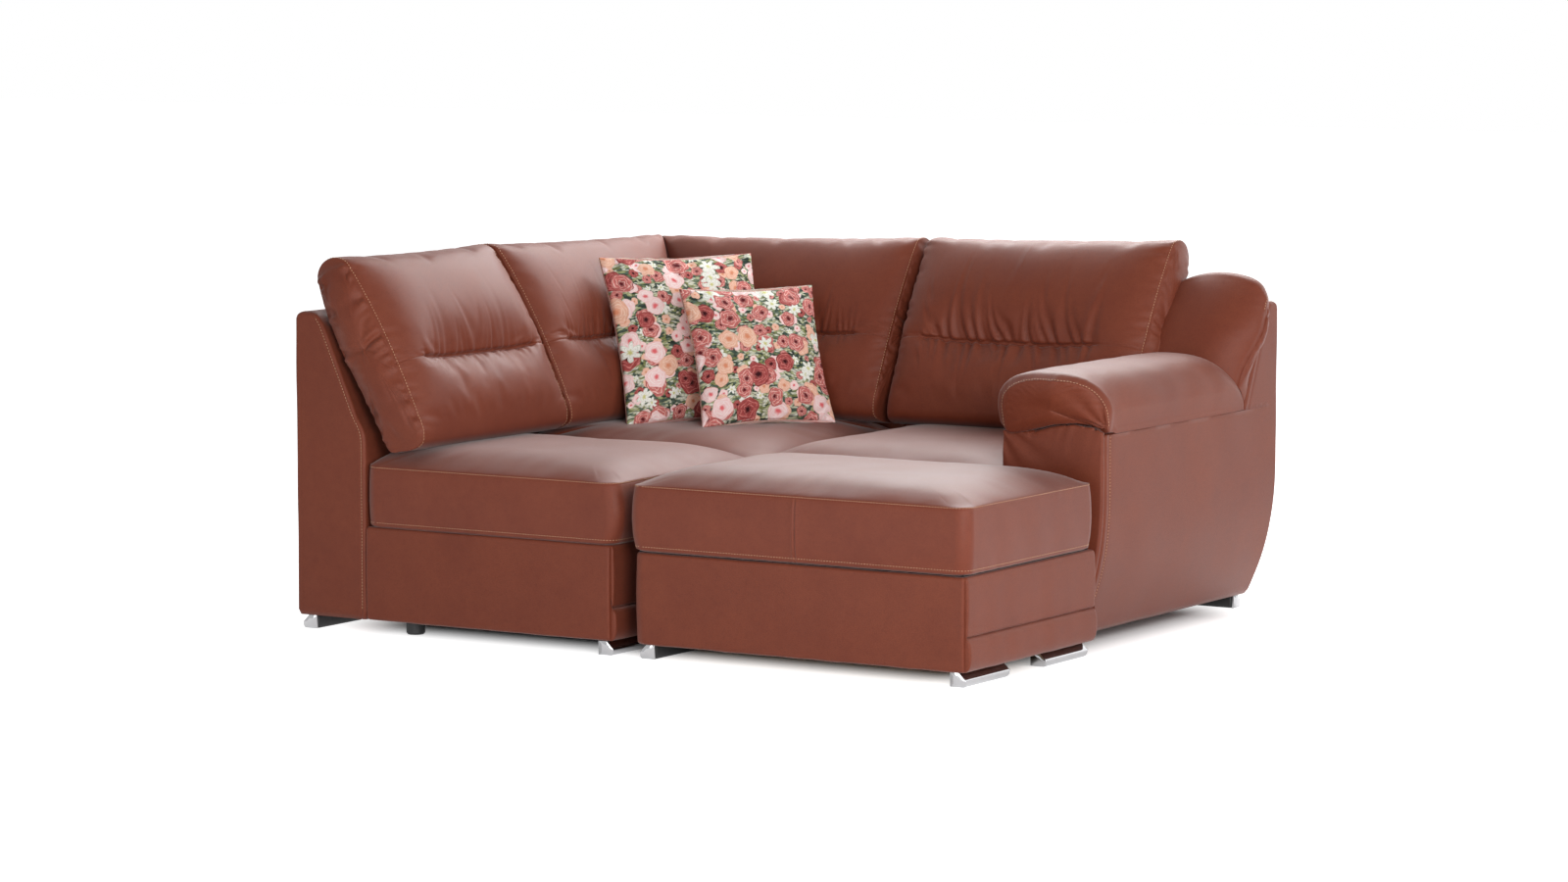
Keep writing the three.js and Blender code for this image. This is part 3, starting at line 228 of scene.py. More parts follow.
def sew(group, look, body):
    """Beads along each path of a group: rings of five points on four stations of every stitch."""
    centres, outs, ways = [], [], []
    stations = np.array([-0.5, -0.24, 0.24, 0.5]) * STITCH_LENGTH
    for path, normals in threads[group]:
        steps = np.linalg.norm(np.diff(path, axis=0), axis=1)
        travelled = np.concatenate([[0.0], np.cumsum(steps)])
        count = int(travelled[-1] / STITCH_PITCH)
        if count < 1:
            continue
        at = (np.arange(count) + 0.5)[:, None] * STITCH_PITCH + stations
        pick = lambda values, place: np.stack(
            [np.interp(place, travelled, values[:, k]) for k in range(3)], -1)
        centres.append(pick(path, at))
        outs.append(pick(normals, at))
        ways.append(pick(path, at + 0.001) - pick(path, at - 0.001))
    centre, out, way = (np.concatenate(part) for part in (centres, outs, ways))
    out /= np.linalg.norm(out, axis=-1, keepdims=True)
    across = np.cross(out, way)
    across /= np.linalg.norm(across, axis=-1, keepdims=True) + 1e-12
    radius = np.array([0.45, 1.0, 1.0, 0.45]) * THREAD
    height = np.array([-0.8, 0.6, 0.6, -0.8]) * THREAD
    angle = np.arange(5) * 2 * np.pi / 5
    ring = (centre + out * height[:, None])[:, :, None] + radius[:, None, None] * (
        across[:, :, None] * np.cos(angle)[:, None] + out[:, :, None] * np.sin(angle)[:, None])
    count = len(ring)
    index = np.arange(count * 20).reshape(count, 4, 5)
    turned = np.roll(index, -1, 2)
    sides = np.stack([index[:, :-1], index[:, 1:], turned[:, 1:], turned[:, :-1]], -1)
    faces = sides.reshape(-1, 4).tolist() + index[:, 0].tolist() + index[:, 3, ::-1].tolist()
    return show(f"stitching_{group}", ring.reshape(-1, 3), faces, look, body)


# Materials

def nodes_of(material):
    material.use_nodes = True
    return material.node_tree


def group_of(name, inputs, outputs):
    """A new shader node group with float, colour or vector sockets."""
    tree = bpy.data.node_groups.new(name, "ShaderNodeTree")
    kinds = {"f": "NodeSocketFloat", "c": "NodeSocketColor", "v": "NodeSocketVector"}
    for label, kind, default in inputs:
        socket = tree.interface.new_socket(label, in_out="INPUT", socket_type=kinds[kind])
        if default is not None:
            socket.default_value = default
    for label, kind in outputs:
        tree.interface.new_socket(label, in_out="OUTPUT", socket_type=kinds[kind])
    return tree, tree.nodes.new("NodeGroupInput"), tree.nodes.new("NodeGroupOutput")


def sums(tree, operation, first, second=None, clamp=False):
    """A Math node; each operand is a socket or a number."""
    node = tree.nodes.new("ShaderNodeMath")
    node.operation = operation
    node.use_clamp = clamp
    for socket, value in zip(node.inputs, (first, second)):
        if value is None:
            continue
        if isinstance(value, (int, float)):
            socket.default_value = value
        else:
            tree.links.new(value, socket)
    return node.outputs[0]


def blended(tree, factor, first, second, blend="MIX"):
    """A colour Mix node; each input is a socket, or a number or colour."""
    node = tree.nodes.new("ShaderNodeMix")
    node.data_type = "RGBA"
    node.blend_type = blend
    for socket, value in ((node.inputs[0], factor), (node.inputs[6], first), (node.inputs[7], second)):
        if isinstance(value, bpy.types.NodeSocket):
            tree.links.new(value, socket)
        else:
            socket.default_value = value
    return node.outputs[2]


def ramp(tree, factor, stops):
    """A Color Ramp node over (position, colour) stops."""
    node = tree.nodes.new("ShaderNodeValToRGB")
    while len(node.color_ramp.elements) < len(stops):
        node.color_ramp.elements.new(0.5)
    for element, (position, colour) in zip(node.color_ramp.elements, stops):
        element.position = position
        element.color = colour
    tree.links.new(factor, node.inputs[0])
    return node.outputs[0]


def srgb(red, green, blue):
    """A colour as written on a screen, 0 to 255, turned to linear light."""
    values = [v / 255 for v in (red, green, blue)]
    return tuple(v / 12.92 if v <= 0.04045 else ((v + 0.055) / 1.055) ** 2.4 for v in values) + (1.0,)


def texture(tree, kind, vector, **inputs):
    node = tree.nodes.new(kind)
    tree.links.new(vector, node.inputs["Vector"])
    for name, value in inputs.items():
        node.inputs[name].default_value = value
    return node


def leather_grain():
    """Pebbled grain with fine creases, drifting tone and worn high spots."""
    tree, given, out = group_of(
        "Leather grain",
        [("Vector", "v", None), ("Base", "c", (0.2, 0.05, 0.03, 1)), ("Worn", "c", (0.3, 0.1, 0.07, 1))],
        [("Colour", "c"), ("Roughness", "f"), ("Height", "f")],
    )
    where = given.outputs["Vector"]
    pebble = texture(tree, "ShaderNodeTexVoronoi", where, Scale=620.0, Randomness=1.0)
    pebble.feature = "SMOOTH_F1"
    pebble.inputs["Smoothness"].default_value = 0.35
    crease = texture(tree, "ShaderNodeTexVoronoi", where, Scale=230.0, Randomness=1.0)
    crease.feature = "DISTANCE_TO_EDGE"
    fine = texture(tree, "ShaderNodeTexNoise", where, Scale=900.0, Detail=3.0)
    broad = texture(tree, "ShaderNodeTexNoise", where, Scale=6.0, Detail=3.0, Roughness=0.55)
    middle = texture(tree, "ShaderNodeTexNoise", where, Scale=38.0, Detail=4.0, Roughness=0.6)
    edge = sums(tree, "MINIMUM", sums(tree, "MULTIPLY", crease.outputs["Distance"], 7.0), 1.0)
    height = sums(tree, "MULTIPLY", pebble.outputs["Distance"], -0.55)
    height = sums(tree, "ADD", height, sums(tree, "MULTIPLY", edge, 0.35))
    height = sums(tree, "ADD", height, sums(tree, "MULTIPLY", fine.outputs[0], 0.3))
    drift = sums(tree, "ADD", sums(tree, "MULTIPLY", broad.outputs[0], 0.65),
                 sums(tree, "MULTIPLY", middle.outputs[0], 0.35))
    tone = sums(tree, "SUBTRACT", drift, 0.5)
    tone = sums(tree, "MULTIPLY_ADD", tone, 2.2)
    tree.nodes[-1].inputs[2].default_value = 0.35
    tone = sums(tree, "MAXIMUM", sums(tree, "MINIMUM", tone, 1.0), 0.0)
    colour = blended(tree, tone, given.outputs["Base"], given.outputs["Worn"])
    dip = sums(tree, "MULTIPLY", sums(tree, "SUBTRACT", 1.0, edge), 0.22)
    colour = blended(tree, dip, colour, (0.02, 0.006, 0.004, 1))
    rough = sums(tree, "ADD", 0.40, sums(tree, "MULTIPLY", drift, 0.14))
    rough = sums(tree, "ADD", rough, sums(tree, "MULTIPLY", pebble.outputs["Distance"], 0.10))
    tree.links.new(colour, out.inputs["Colour"])
    tree.links.new(rough, out.inputs["Roughness"])
    tree.links.new(height, out.inputs["Height"])
    return tree


def object_place(tree):
    return tree.nodes.new("ShaderNodeTexCoord").outputs["Object"]


GRAIN = leather_grain()


def leather(name, base, worn, sheen, bump=0.32):
    material = bpy.data.materials.new(name)
    tree = nodes_of(material)
    shader = tree.nodes["Principled BSDF"]
    grain = tree.nodes.new("ShaderNodeGroup")
    grain.node_tree = GRAIN
    tree.links.new(object_place(tree), grain.inputs["Vector"])
    grain.inputs["Base"].default_value = base
    grain.inputs["Worn"].default_value = worn
    tree.links.new(grain.outputs["Colour"], shader.inputs["Base Color"])
    tree.links.new(grain.outputs["Roughness"], shader.inputs["Roughness"])
    shader.inputs["Specular IOR Level"].default_value = 0.25
    shader.inputs["Sheen Weight"].default_value = sheen
    shader.inputs["Sheen Roughness"].default_value = 0.42
    rise = tree.nodes.new("ShaderNodeBump")
    rise.inputs["Strength"].default_value = bump
    rise.inputs["Distance"].default_value = 0.0006
    tree.links.new(grain.outputs["Height"], rise.inputs["Height"])
    tree.links.new(rise.outputs[0], shader.inputs["Normal"])
    return material


def plain(name, colour, roughness, metallic=0.0, scale=60.0, spread=0.25, bump=0.15, stretch=(1, 1, 1)):
    """A finish with drifting tone: noise over object coordinates, stretched where it has a grain."""
    material = bpy.data.materials.new(name)
    tree = nodes_of(material)
    shader = tree.nodes["Principled BSDF"]
    place = tree.nodes.new("ShaderNodeMapping")
    place.inputs["Scale"].default_value = stretch
    tree.links.new(object_place(tree), place.inputs["Vector"])
    noise = texture(tree, "ShaderNodeTexNoise", place.outputs[0], Scale=scale, Detail=5.0)
    dark = tuple(c * (1 - spread) for c in colour[:3]) + (1,)
    light = tuple(min(1.0, c * (1 + spread)) for c in colour[:3]) + (1,)
    tree.links.new(ramp(tree, noise.outputs[0], [(0.3, dark), (0.7, light)]), shader.inputs["Base Color"])
    rough = sums(tree, "ADD", roughness * 0.85, sums(tree, "MULTIPLY", noise.outputs[0], roughness * 0.3))
    tree.links.new(rough, shader.inputs["Roughness"])
    shader.inputs["Metallic"].default_value = metallic
    rise = tree.nodes.new("ShaderNodeBump")
    rise.inputs["Strength"].default_value = bump
    rise.inputs["Distance"].default_value = 0.0005
    tree.links.new(noise.outputs[0], rise.inputs["Height"])
    tree.links.new(rise.outputs[0], shader.inputs["Normal"])
    return material


HIDE = leather("Brown leather", srgb(112, 50, 31), srgb(126, 62, 41), 0.11)
SEAT_HIDE = leather("Brown leather, polished by use", srgb(113, 51, 33), srgb(127, 63, 43), 0.24)
GOLD = plain("Tan thread", srgb(206, 164, 128), 0.6, scale=900.0, spread=0.15)
CHROME = plain("Chrome", (0.40, 0.40, 0.41, 1), 0.10, 1.0, scale=30.0, spread=0.03, bump=0.02)
BLACK = plain("Black plastic", srgb(24, 24, 26), 0.55, scale=700.0, spread=0.3, bump=0.3)
PINE = plain("Pine", srgb(196, 158, 108), 0.75, scale=9.0, spread=0.28, bump=0.3, stretch=(2, 2, 24))
STEEL = plain("Spring steel", (0.42, 0.43, 0.45, 1), 0.36, 1.0, scale=120.0, spread=0.2)
FELT = plain("Black lining", srgb(30, 30, 32), 0.95, scale=1500.0, spread=0.5, bump=0.6)


# Cloth

def doubled(values, axis):
    """Twice the samples along an axis: each new one is nine sixteenths of its two neighbours less a
    sixteenth of the two beyond them."""
    values = np.moveaxis(values, axis, 0)
    beyond = np.concatenate([values[:1], values, values[-1:]])
    between = (9 * (values[:-1] + values[1:]) - beyond[:-3] - beyond[3:]) / 16
    full = np.empty((2 * len(values) - 1,) + values.shape[1:])
    full[::2], full[1::2] = values, between
    return np.moveaxis(full, 0, axis)


def odd(values):
    """Leaves out the middle value where there is an even number of them."""
    return np.delete(values, len(values) // 2, 0) if len(values) % 2 == 0 else values


def inflated(grid, held, cap, slack, pressure=4.0, soften=0):
    """Cloth blown up by pressure from every second row and column of a closed grid with an odd
    number of rows and an even number of columns. Held points stay. Moves are eased to the cap, and
    each softening pass takes half of every move and a quarter of its two neighbours."""
    coarse, stay = grid[::2, ::2], held[::2, ::2]
    points, faces = ring_faces(coarse)
    mesh = bpy.data.meshes.new("cloth")
    mesh.from_pydata(points.tolist(), [], faces)
    cloth = bpy.data.objects.new("cloth", mesh)
    scene = bpy.context.scene
    scene.collection.objects.link(cloth)
    pins = cloth.vertex_groups.new(name="held")
    weights = np.concatenate([stay.ravel(), [stay[0].mean(), stay[-1].mean()]])
    for level in np.unique(np.round(weights, 2)):
        pins.add(np.flatnonzero(np.round(weights, 2) == level).tolist(), float(level), "REPLACE")
    modifier = cloth.modifiers.new("Cloth", "CLOTH")
    settings = modifier.settings
    settings.quality = 6
    settings.mass = 0.3
    settings.tension_stiffness = settings.compression_stiffness = 15
    settings.shear_stiffness = 5
    settings.bending_stiffness = 0.4
    settings.vertex_group_mass = "held"
    settings.shrink_min = -slack
    settings.use_pressure = True
    settings.uniform_pressure_force = pressure
    settings.effector_weights.gravity = 0
    modifier.collision_settings.use_collision = False
    modifier.point_cache.frame_start, modifier.point_cache.frame_end = 1, 20
    for frame_number in range(1, 21):
        scene.frame_set(frame_number)
    shaped = cloth.evaluated_get(bpy.context.evaluated_depsgraph_get()).data
    places = np.empty(len(points) * 3)
    shaped.vertices.foreach_get("co", places)
    moved = (places.reshape(-1, 3) - points)[: coarse.shape[0] * coarse.shape[1]].reshape(coarse.shape)
    bpy.data.objects.remove(cloth)
    bpy.data.meshes.remove(mesh)
    scene.frame_set(1)
    far = np.linalg.norm(moved, axis=-1, keepdims=True)
    moved = moved * (cap * np.tanh(far / cap) / np.maximum(far, 1e-9)) * (1 - stay[..., None])
    for _ in range(soften):
        moved = moved / 2 + (np.roll(moved, 1, 1) + np.roll(moved, -1, 1)) / 4
        moved[1:-1] = moved[1:-1] / 2 + (moved[:-2] + moved[2:]) / 4
    moved = np.concatenate([moved[:, -1:], moved, moved[:, :2]], 1)
    dense = doubled(doubled(moved, 0), 1)[:, 2:-3]
    return grid + dense


# Blocks: rounded rectangles in plan, stacked in height

EDGE_STEPS = np.array([0.0, 0.0015, 0.003, 0.0045, 0.006, 0.008, 0.011, 0.016, 0.024])


def side_places(length, cell):
    """Distances along sides of the given lengths: fine steps at both ends, even ones between."""
    steps = EDGE_STEPS[None] * np.minimum(1.0, length / 0.06)[:, None]
    count = max(1, int((length.max() - 2 * EDGE_STEPS[-1]) / cell))
    share = np.linspace(0, 1, count + 2)[1:-1]
    middle = steps[:, -1:] + (length[:, None] - 2 * steps[:, -1:]) * share
    return np.concatenate([steps, middle, length[:, None] - steps[:, ::-1]], 1)


def stacked(x0, x1, y0, y1, z, radius, cell=0.014, arc=5):
    """Rings of a rectangle with rounded corners, one for each height, and where each side starts.
    Sides run front, right, rear, left; a corner's arc follows each side."""
    x0, x1, y0, y1, radius = (np.broadcast_to(np.asarray(v, float), z.shape) for v in (x0, x1, y0, y1, radius))
    radius = np.minimum(radius, 0.49 * np.minimum(x1 - x0, y1 - y0))
    turns = (np.arange(arc) + 1) / (arc + 1) * np.pi / 2
    wide = side_places(x1 - x0 - 2 * radius, cell)
    deep = side_places(y1 - y0 - 2 * radius, cell)
    parts, starts, column = [], {}, 0
    corner = lambda cx, cy, quarter: np.stack([
        cx[:, None] + radius[:, None] * np.cos(quarter * np.pi / 2 + turns),
        cy[:, None] + radius[:, None] * np.sin(quarter * np.pi / 2 + turns)], -1)
    line = lambda x, y: np.stack(np.broadcast_arrays(x, y), -1)
    sides = [
        ("front", line((x0 + radius)[:, None] + wide, y0[:, None]), corner(x1 - radius, y0 + radius, 3)),
        ("right", line(x1[:, None], (y0 + radius)[:, None] + deep), corner(x1 - radius, y1 - radius, 0)),
        ("rear", line((x1 - radius)[:, None] - wide, y1[:, None]), corner(x0 + radius, y1 - radius, 1)),
        ("left", line(x0[:, None], (y1 - radius)[:, None] - deep), corner(x0 + radius, y0 + radius, 2)),
    ]
    for name, side, bend in sides:
        starts[name] = (column, column + side.shape[1] - 1)
        column += side.shape[1] + bend.shape[1]
        parts += [side, bend]
    plan = np.concatenate(parts, 1)
    return np.concatenate([plan, np.broadcast_to(z[:, None, None], plan.shape[:2] + (1,))], -1), starts


def finer_columns(grid, x, offsets):
    """Adds columns along the front side at offsets from x, between the columns that lie there."""
    front = np.flatnonzero(np.abs(grid[len(grid) // 4, : grid.shape[1] // 3, 0] - x) < 0.03)
    first, last = front[0], front[-1]
    row = grid[len(grid) // 4, first:last + 1, 0]
    places = np.unique(np.concatenate([[0, last - first], np.interp(x + offsets, row, np.arange(len(row)))]))
    low = np.minimum(places.astype(int), last - first - 1)
    part = (places - low)[None, :, None]
    new = grid[:, first + low] * (1 - part) + grid[:, first + low + 1] * part
    return np.concatenate([grid[:, :first], new, grid[:, last + 1:]], 1)


def groove_column(grid, normals, column, depth=SEAM_DEPTH):
    """Draws the leather in along one column, and a little on the columns beside it."""
    count = grid.shape[1]
    for offset, share in ((0, 1.0), (-1, 0.35), (1, 0.35)):
        c = (column + offset) % count
        grid[:, c] -= normals[:, c] * depth * share


def uneven(grid, amount, size, seed):
    """Moves points along their normals by a soft unevenness."""
    return grid + normals_of(grid) * (amount * mottle(grid, size, seed))[..., None]


# Back shells

def shell_profile():
    """Front of a back shell as (height, thickness) points: upright, a bend, a slope, a round top."""
    t = np.linspace(0, 1, 13)[1:, None]
    bend = (1 - t)**2 * [0.476, 0.212] + 2 * t * (1 - t) * [0.506, 0.212] + t**2 * [0.536, 0.188]
    top = (1 - t)**2 * [0.752, 0.092] + 2 * t * (1 - t) * [0.795, 0.070] + t**2 * [0.795, 0.048]
    return np.concatenate([[[GROUND, 0.212], [0.476, 0.212]], bend, [[0.752, 0.092]], top])


SHELL = shell_profile()


def shell_front(z):
    return np.interp(z, SHELL[:, 0], SHELL[:, 1])


def shell_rear(z):
    """Outer face, drawn in by a quarter circle at the top."""
    return 0.022 - np.sqrt(np.maximum(0.0, 0.022**2 - np.maximum(0.0, z - 0.773)**2))


def end_round(z, low, high, radius):
    """How far the ends of a block are drawn in near its bottom and top edges."""
    near = np.maximum(0.0, radius - np.minimum(z - low, high - z))
    return radius - np.sqrt(np.maximum(0.0, radius**2 - near**2))


def shell_heights():
    steps = ticks(GROUND, 0.770, 0.013, near=[0.770])
    top = 0.770 + 0.0248 * np.sin(np.linspace(0, np.pi / 2, 10))[1:]
    return np.concatenate([[GROUND + 0.0003], steps[1:], top])


def shell_block(low, high, turn):
    """A shell from low to high along its length; turn carries (inwards, along, up) to the layout."""
    z = shell_heights()
    inset = end_round(z, GROUND - 0.02, 0.7955, 0.012)
    foot = end_round(z, GROUND, 2.0, 0.006)
    grid, starts = stacked(shell_rear(z) + foot, shell_front(z) - foot, low + inset + foot,
                           high - inset - foot, z, 0.008)
    grid = grid + normals_of(grid) * (0.0012 * mottle(grid, 0.16, 11))[..., None]
    return turn(grid), starts


def as_left(grid):
    return grid


def as_rear(grid):
    """Carries a left-hand shell to the rear: inwards runs forwards from the rear face."""
    return np.stack([grid[..., 1], SOFA_DEPTH - grid[..., 0], grid[..., 2]], -1)


def seam_on_column(group, grid, column, first=0, last=None, beside=1.6, depth=SEAM_DEPTH):
    """A drawn-in seam along a column with a row of stitches beside it."""
    normals = normals_of(grid)
    groove_column(grid, normals, column, depth)
    normals = normals_of(grid)
    last = grid.shape[0] - 1 if last is None else last
    stitch(group, *along_column(grid, normals, column + beside, first, last))


def end_shell():
    grid, starts = shell_block(0.0, 0.652, as_left)
    column = starts["front"][1] - 3
    seam_on_column("end", grid, column, 2, grid.shape[0] - 7, beside=1.2)
    skin("end_back_shell_cover", grid, HIDE, "sofa", ["end_back_shell"])


def arm_shell():
    low, high = extent("arm_back_shell")
    grid, starts = shell_block(low[0], high[0], as_rear)
    skin("arm_back_shell_cover", grid, HIDE, "sofa", ["arm_back_shell"])


def corner_shell():
    """The two corner shells as one section carried round the corner. The leg's length shrinks with
    the distance inwards, so both legs meet on the mitre, and the outer corner is a small arc."""
    z = shell_heights()
    front = np.stack([shell_front(z), z], -1)
    rear = np.stack([shell_rear(z), z], -1)[::-1]
    foot = np.stack([np.linspace(0, 0.212, 12)[1:-1], np.full(10, GROUND)], -1)
    section = np.concatenate([foot, front, rear])
    a, up = section[:, 0], section[:, 1]
    bend = np.maximum(0.003, 0.030 * (1 - a / 0.06))
    share = np.concatenate([[0.0, 0.004, 0.010, 0.018], np.linspace(0.03, 0.93, 44), 1 - 0.06 * np.geomspace(1, 0.03, 14), [1.0]])
    long_left = (SOFA_DEPTH - a) - 0.657
    long_rear = 0.941 - a
    # Distance from the corner, measured so that an arc's half ends on the mitre
    short = bend * (1 - np.sqrt(0.5))
    inward = lambda q: bend - np.sqrt(np.maximum(0.0, bend**2 - np.maximum(0.0, bend - q)**2))
    rows = []
    for s in share:
        q = short + (long_left - short) * (1 - s)
        rows.append(np.stack([a + inward(q), SOFA_DEPTH - a - q, up], -1))
    for s in share[-2::-1]:
        q = short + (long_rear - short) * (1 - s)
        rows.append(np.stack([a + q, SOFA_DEPTH - a - inward(q), up], -1))
    grid = np.array(rows)
    for row, keep in ((0, 0.985), (1, 0.996), (-1, 0.985), (-2, 0.996)):
        centre = grid[row].mean(0)
        grid[row] = centre + (grid[row] - centre) * keep
    grid = uneven(grid, 0.0012, 0.17, 12)
    skin("corner_back_shell_cover", grid, HIDE, "sofa", ["corner_back_shell_left", "corner_back_shell_rear"])


# Upholstered boards round the bases

def carried(section, origin, outward, up=None, end_radius=0.006, middle=None):
    """A closed section of (out, height) points carried along a path of plan points with outward
    directions; the first and last rows draw in towards the section's middle."""
    count = len(origin)
    middle = section.mean(0) if middle is None else middle
    half = (section.max(0) - section.min(0)) / 2
    steps = np.linalg.norm(np.diff(origin, axis=0), axis=1)
    travelled = np.concatenate([[0.0], np.cumsum(steps)])
    left = np.minimum(travelled, travelled[-1] - travelled)
    near = np.maximum(0.0, end_radius - left)
    inset = end_radius - np.sqrt(np.maximum(0.0, end_radius**2 - near**2))
    keep = 1 - inset[:, None] / half[None]
    shape = middle + (section[None] - middle) * keep[:, None]
    plan = origin[:, None] + outward[:, None] * shape[..., :1]
    return np.concatenate([plan, shape[..., 1:]], -1)


def curve(points, count, closed=False):
    """Even samples of a polyline."""
    points = np.asarray(points, float)
    steps = np.linalg.norm(np.diff(points, axis=0), axis=1)
    travelled = np.concatenate([[0.0], np.cumsum(steps)])
    at = np.linspace(0, travelled[-1], count)
    return np.stack([np.interp(at, travelled, points[:, k]) for k in range(points.shape[1])], -1)


def bezier(first, control, last, count):
    t = np.linspace(0, 1, count)[:, None]
    return (1 - t)**2 * np.array(first) + 2 * t * (1 - t) * np.array(control) + t**2 * np.array(last)


def banded_section(top):
    """A padded band along the foot with a fold above it, then a flat face, as (out, height)."""
    middle = (GROUND + BAND_TOP) / 2
    face = np.concatenate([
        bezier((-0.010, GROUND), (0.009, GROUND), (0.009, middle), 12),
        bezier((0.009, middle + 0.002), (0.009, BAND_TOP), (-0.007, BAND_TOP), 14)[:],
        bezier((-0.0065, BAND_TOP + 0.0008), (0.0005, BAND_TOP + 0.001), (0.001, BAND_TOP + 0.010), 8),
    ])
    up = ticks(BAND_TOP + 0.013, top - 0.010, 0.010)
    swell = 0.002 * np.sin(np.pi * (up - up[0]) / (up[-1] - up[0]))
    flat = np.stack([0.0008 + swell, up], -1)
    crown = bezier((0.0, top - 0.009), (0.0, top), (-0.010, top), 8)
    inner = np.stack([np.full(14, -COVER), np.linspace(top, GROUND, 14)], -1)
    return np.concatenate([face, flat, crown, inner])


def plain_section(top):
    """A flat face with soft lower and upper edges, as (out, height)."""
    up = ticks(GROUND + 0.010, top - 0.010, 0.010)
    swell = 0.0025 * np.sin(np.pi * (up - up[0]) / (up[-1] - up[0]))
    return np.concatenate([
        bezier((-0.012, GROUND), (0.0, GROUND), (0.0, GROUND + 0.009), 8),
        np.stack([swell, up], -1),
        bezier((0.0, top - 0.009), (0.0, top), (-0.010, top), 8),
        np.stack([np.full(14, -COVER), np.linspace(top, GROUND, 14)], -1),
    ])


def straight(start, end, outward, step=0.008):
    """A straight plan path, finer at both ends."""
    start, end = np.array(start, float), np.array(end, float)
    length = np.linalg.norm(end - start)
    ends = np.array([0.0, 0.0008, 0.002, 0.004, 0.007])
    places = np.concatenate([ends, np.linspace(0.012, length - 0.012, int(length / step)), length - ends[::-1]])
    path = start + (end - start) * (places / length)[:, None]
    return path, np.broadcast_to(np.array(outward, float), path.shape)


def puckered(grid, amount, size, seed):
    """Soft vertical drag lines: ripples along the board, strongest at its lower edge."""
    normals = normals_of(grid)
    place = grid[..., 0] + grid[..., 1]
    low, high = grid[..., 2].min(), grid[..., 2].max()
    share = (grid[..., 2] - low) / (high - low)
    pull = ripples(place + 0.02 * share, (size, size * 0.61, size * 1.7), seed) * (1 - 0.6 * share)
    return grid + normals * (amount * pull + amount * mottle(grid, 0.13, seed + 1))[..., None]


def base_boards():
    low, high = extent("end_base_front")
    path, out = straight((low[0], 0.0), (0.9355, 0.0), (0, -1))
    skin("end_base_front_cover", puckered(carried(plain_section(high[2]), path, out), 0.0008, 0.19, 21),
         HIDE, "sofa", ["end_base_front"])
    low, high = extent("end_base_side")
    path, out = straight((0.941, 0.0075), (0.941, high[1]), (1, 0))
    skin("end_base_side_cover", puckered(carried(banded_section(high[2]), path, out), 0.0006, 0.17, 22),
         HIDE, "sofa", ["end_base_side"])
    low, high = extent("arm_base_front")
    path, out = straight((low[0], low[1]), (high[0], low[1]), (0, -1))
    skin("arm_base_front_cover", puckered(carried(plain_section(high[2]), path, out), 0.0008, 0.19, 23),
         HIDE, "sofa", ["arm_base_front"])


def ottoman_boards():
    low, high = extent("ottoman_right_board")
    x, y0, y1, top = 1.919, low[1], high[1], high[2]
    path, out = straight((x, y0 + 0.0075), (x, y1 - 0.0012), (1, 0))
    skin("ottoman_right_board_cover", puckered(carried(banded_section(top), path, out), 0.0006, 0.15, 24),
         HIDE, "ottoman", ["ottoman_right_board"])
    # Front, left and rear in one cover, with a rounded corner at both left ends
    x0, right, radius = extent("ottoman_front_board")[0][0], 1.9135, 0.034
    turn = np.linspace(0, np.pi / 2, 14)[1:-1]
    front, front_out = straight((right, y0), (x0 + radius, y0), (0, -1))
    left, left_out = straight((x0, y0 + radius), (x0, y1 - radius), (-1, 0))
    rear, rear_out = straight((x0 + radius, y1), (right, y1), (0, 1))
    one = np.stack([-np.sin(turn), -np.cos(turn)], -1)
    two = np.stack([-np.cos(turn), np.sin(turn)], -1)
    path = np.concatenate([front, [x0 + radius, y0 + radius] + radius * one, left,
                           [x0 + radius, y1 - radius] + radius * two, rear])
    out = np.concatenate([front_out, one, left_out, two, rear_out])
    skin("ottoman_front_cover", puckered(carried(plain_section(top), path, out), 0.0011, 0.16, 25),
         HIDE, "ottoman", ["ottoman_front_board", "ottoman_left_board", "ottoman_rear_board"])


# Seat cushions

def dome(distance, edge):
    """Rise of a rolled edge as a share: one less a power of what is left of its reach."""
    left = 1 - np.clip(distance / (0.20 * edge), 0, 1)
    return (1 - left**2.4) ** 0.741


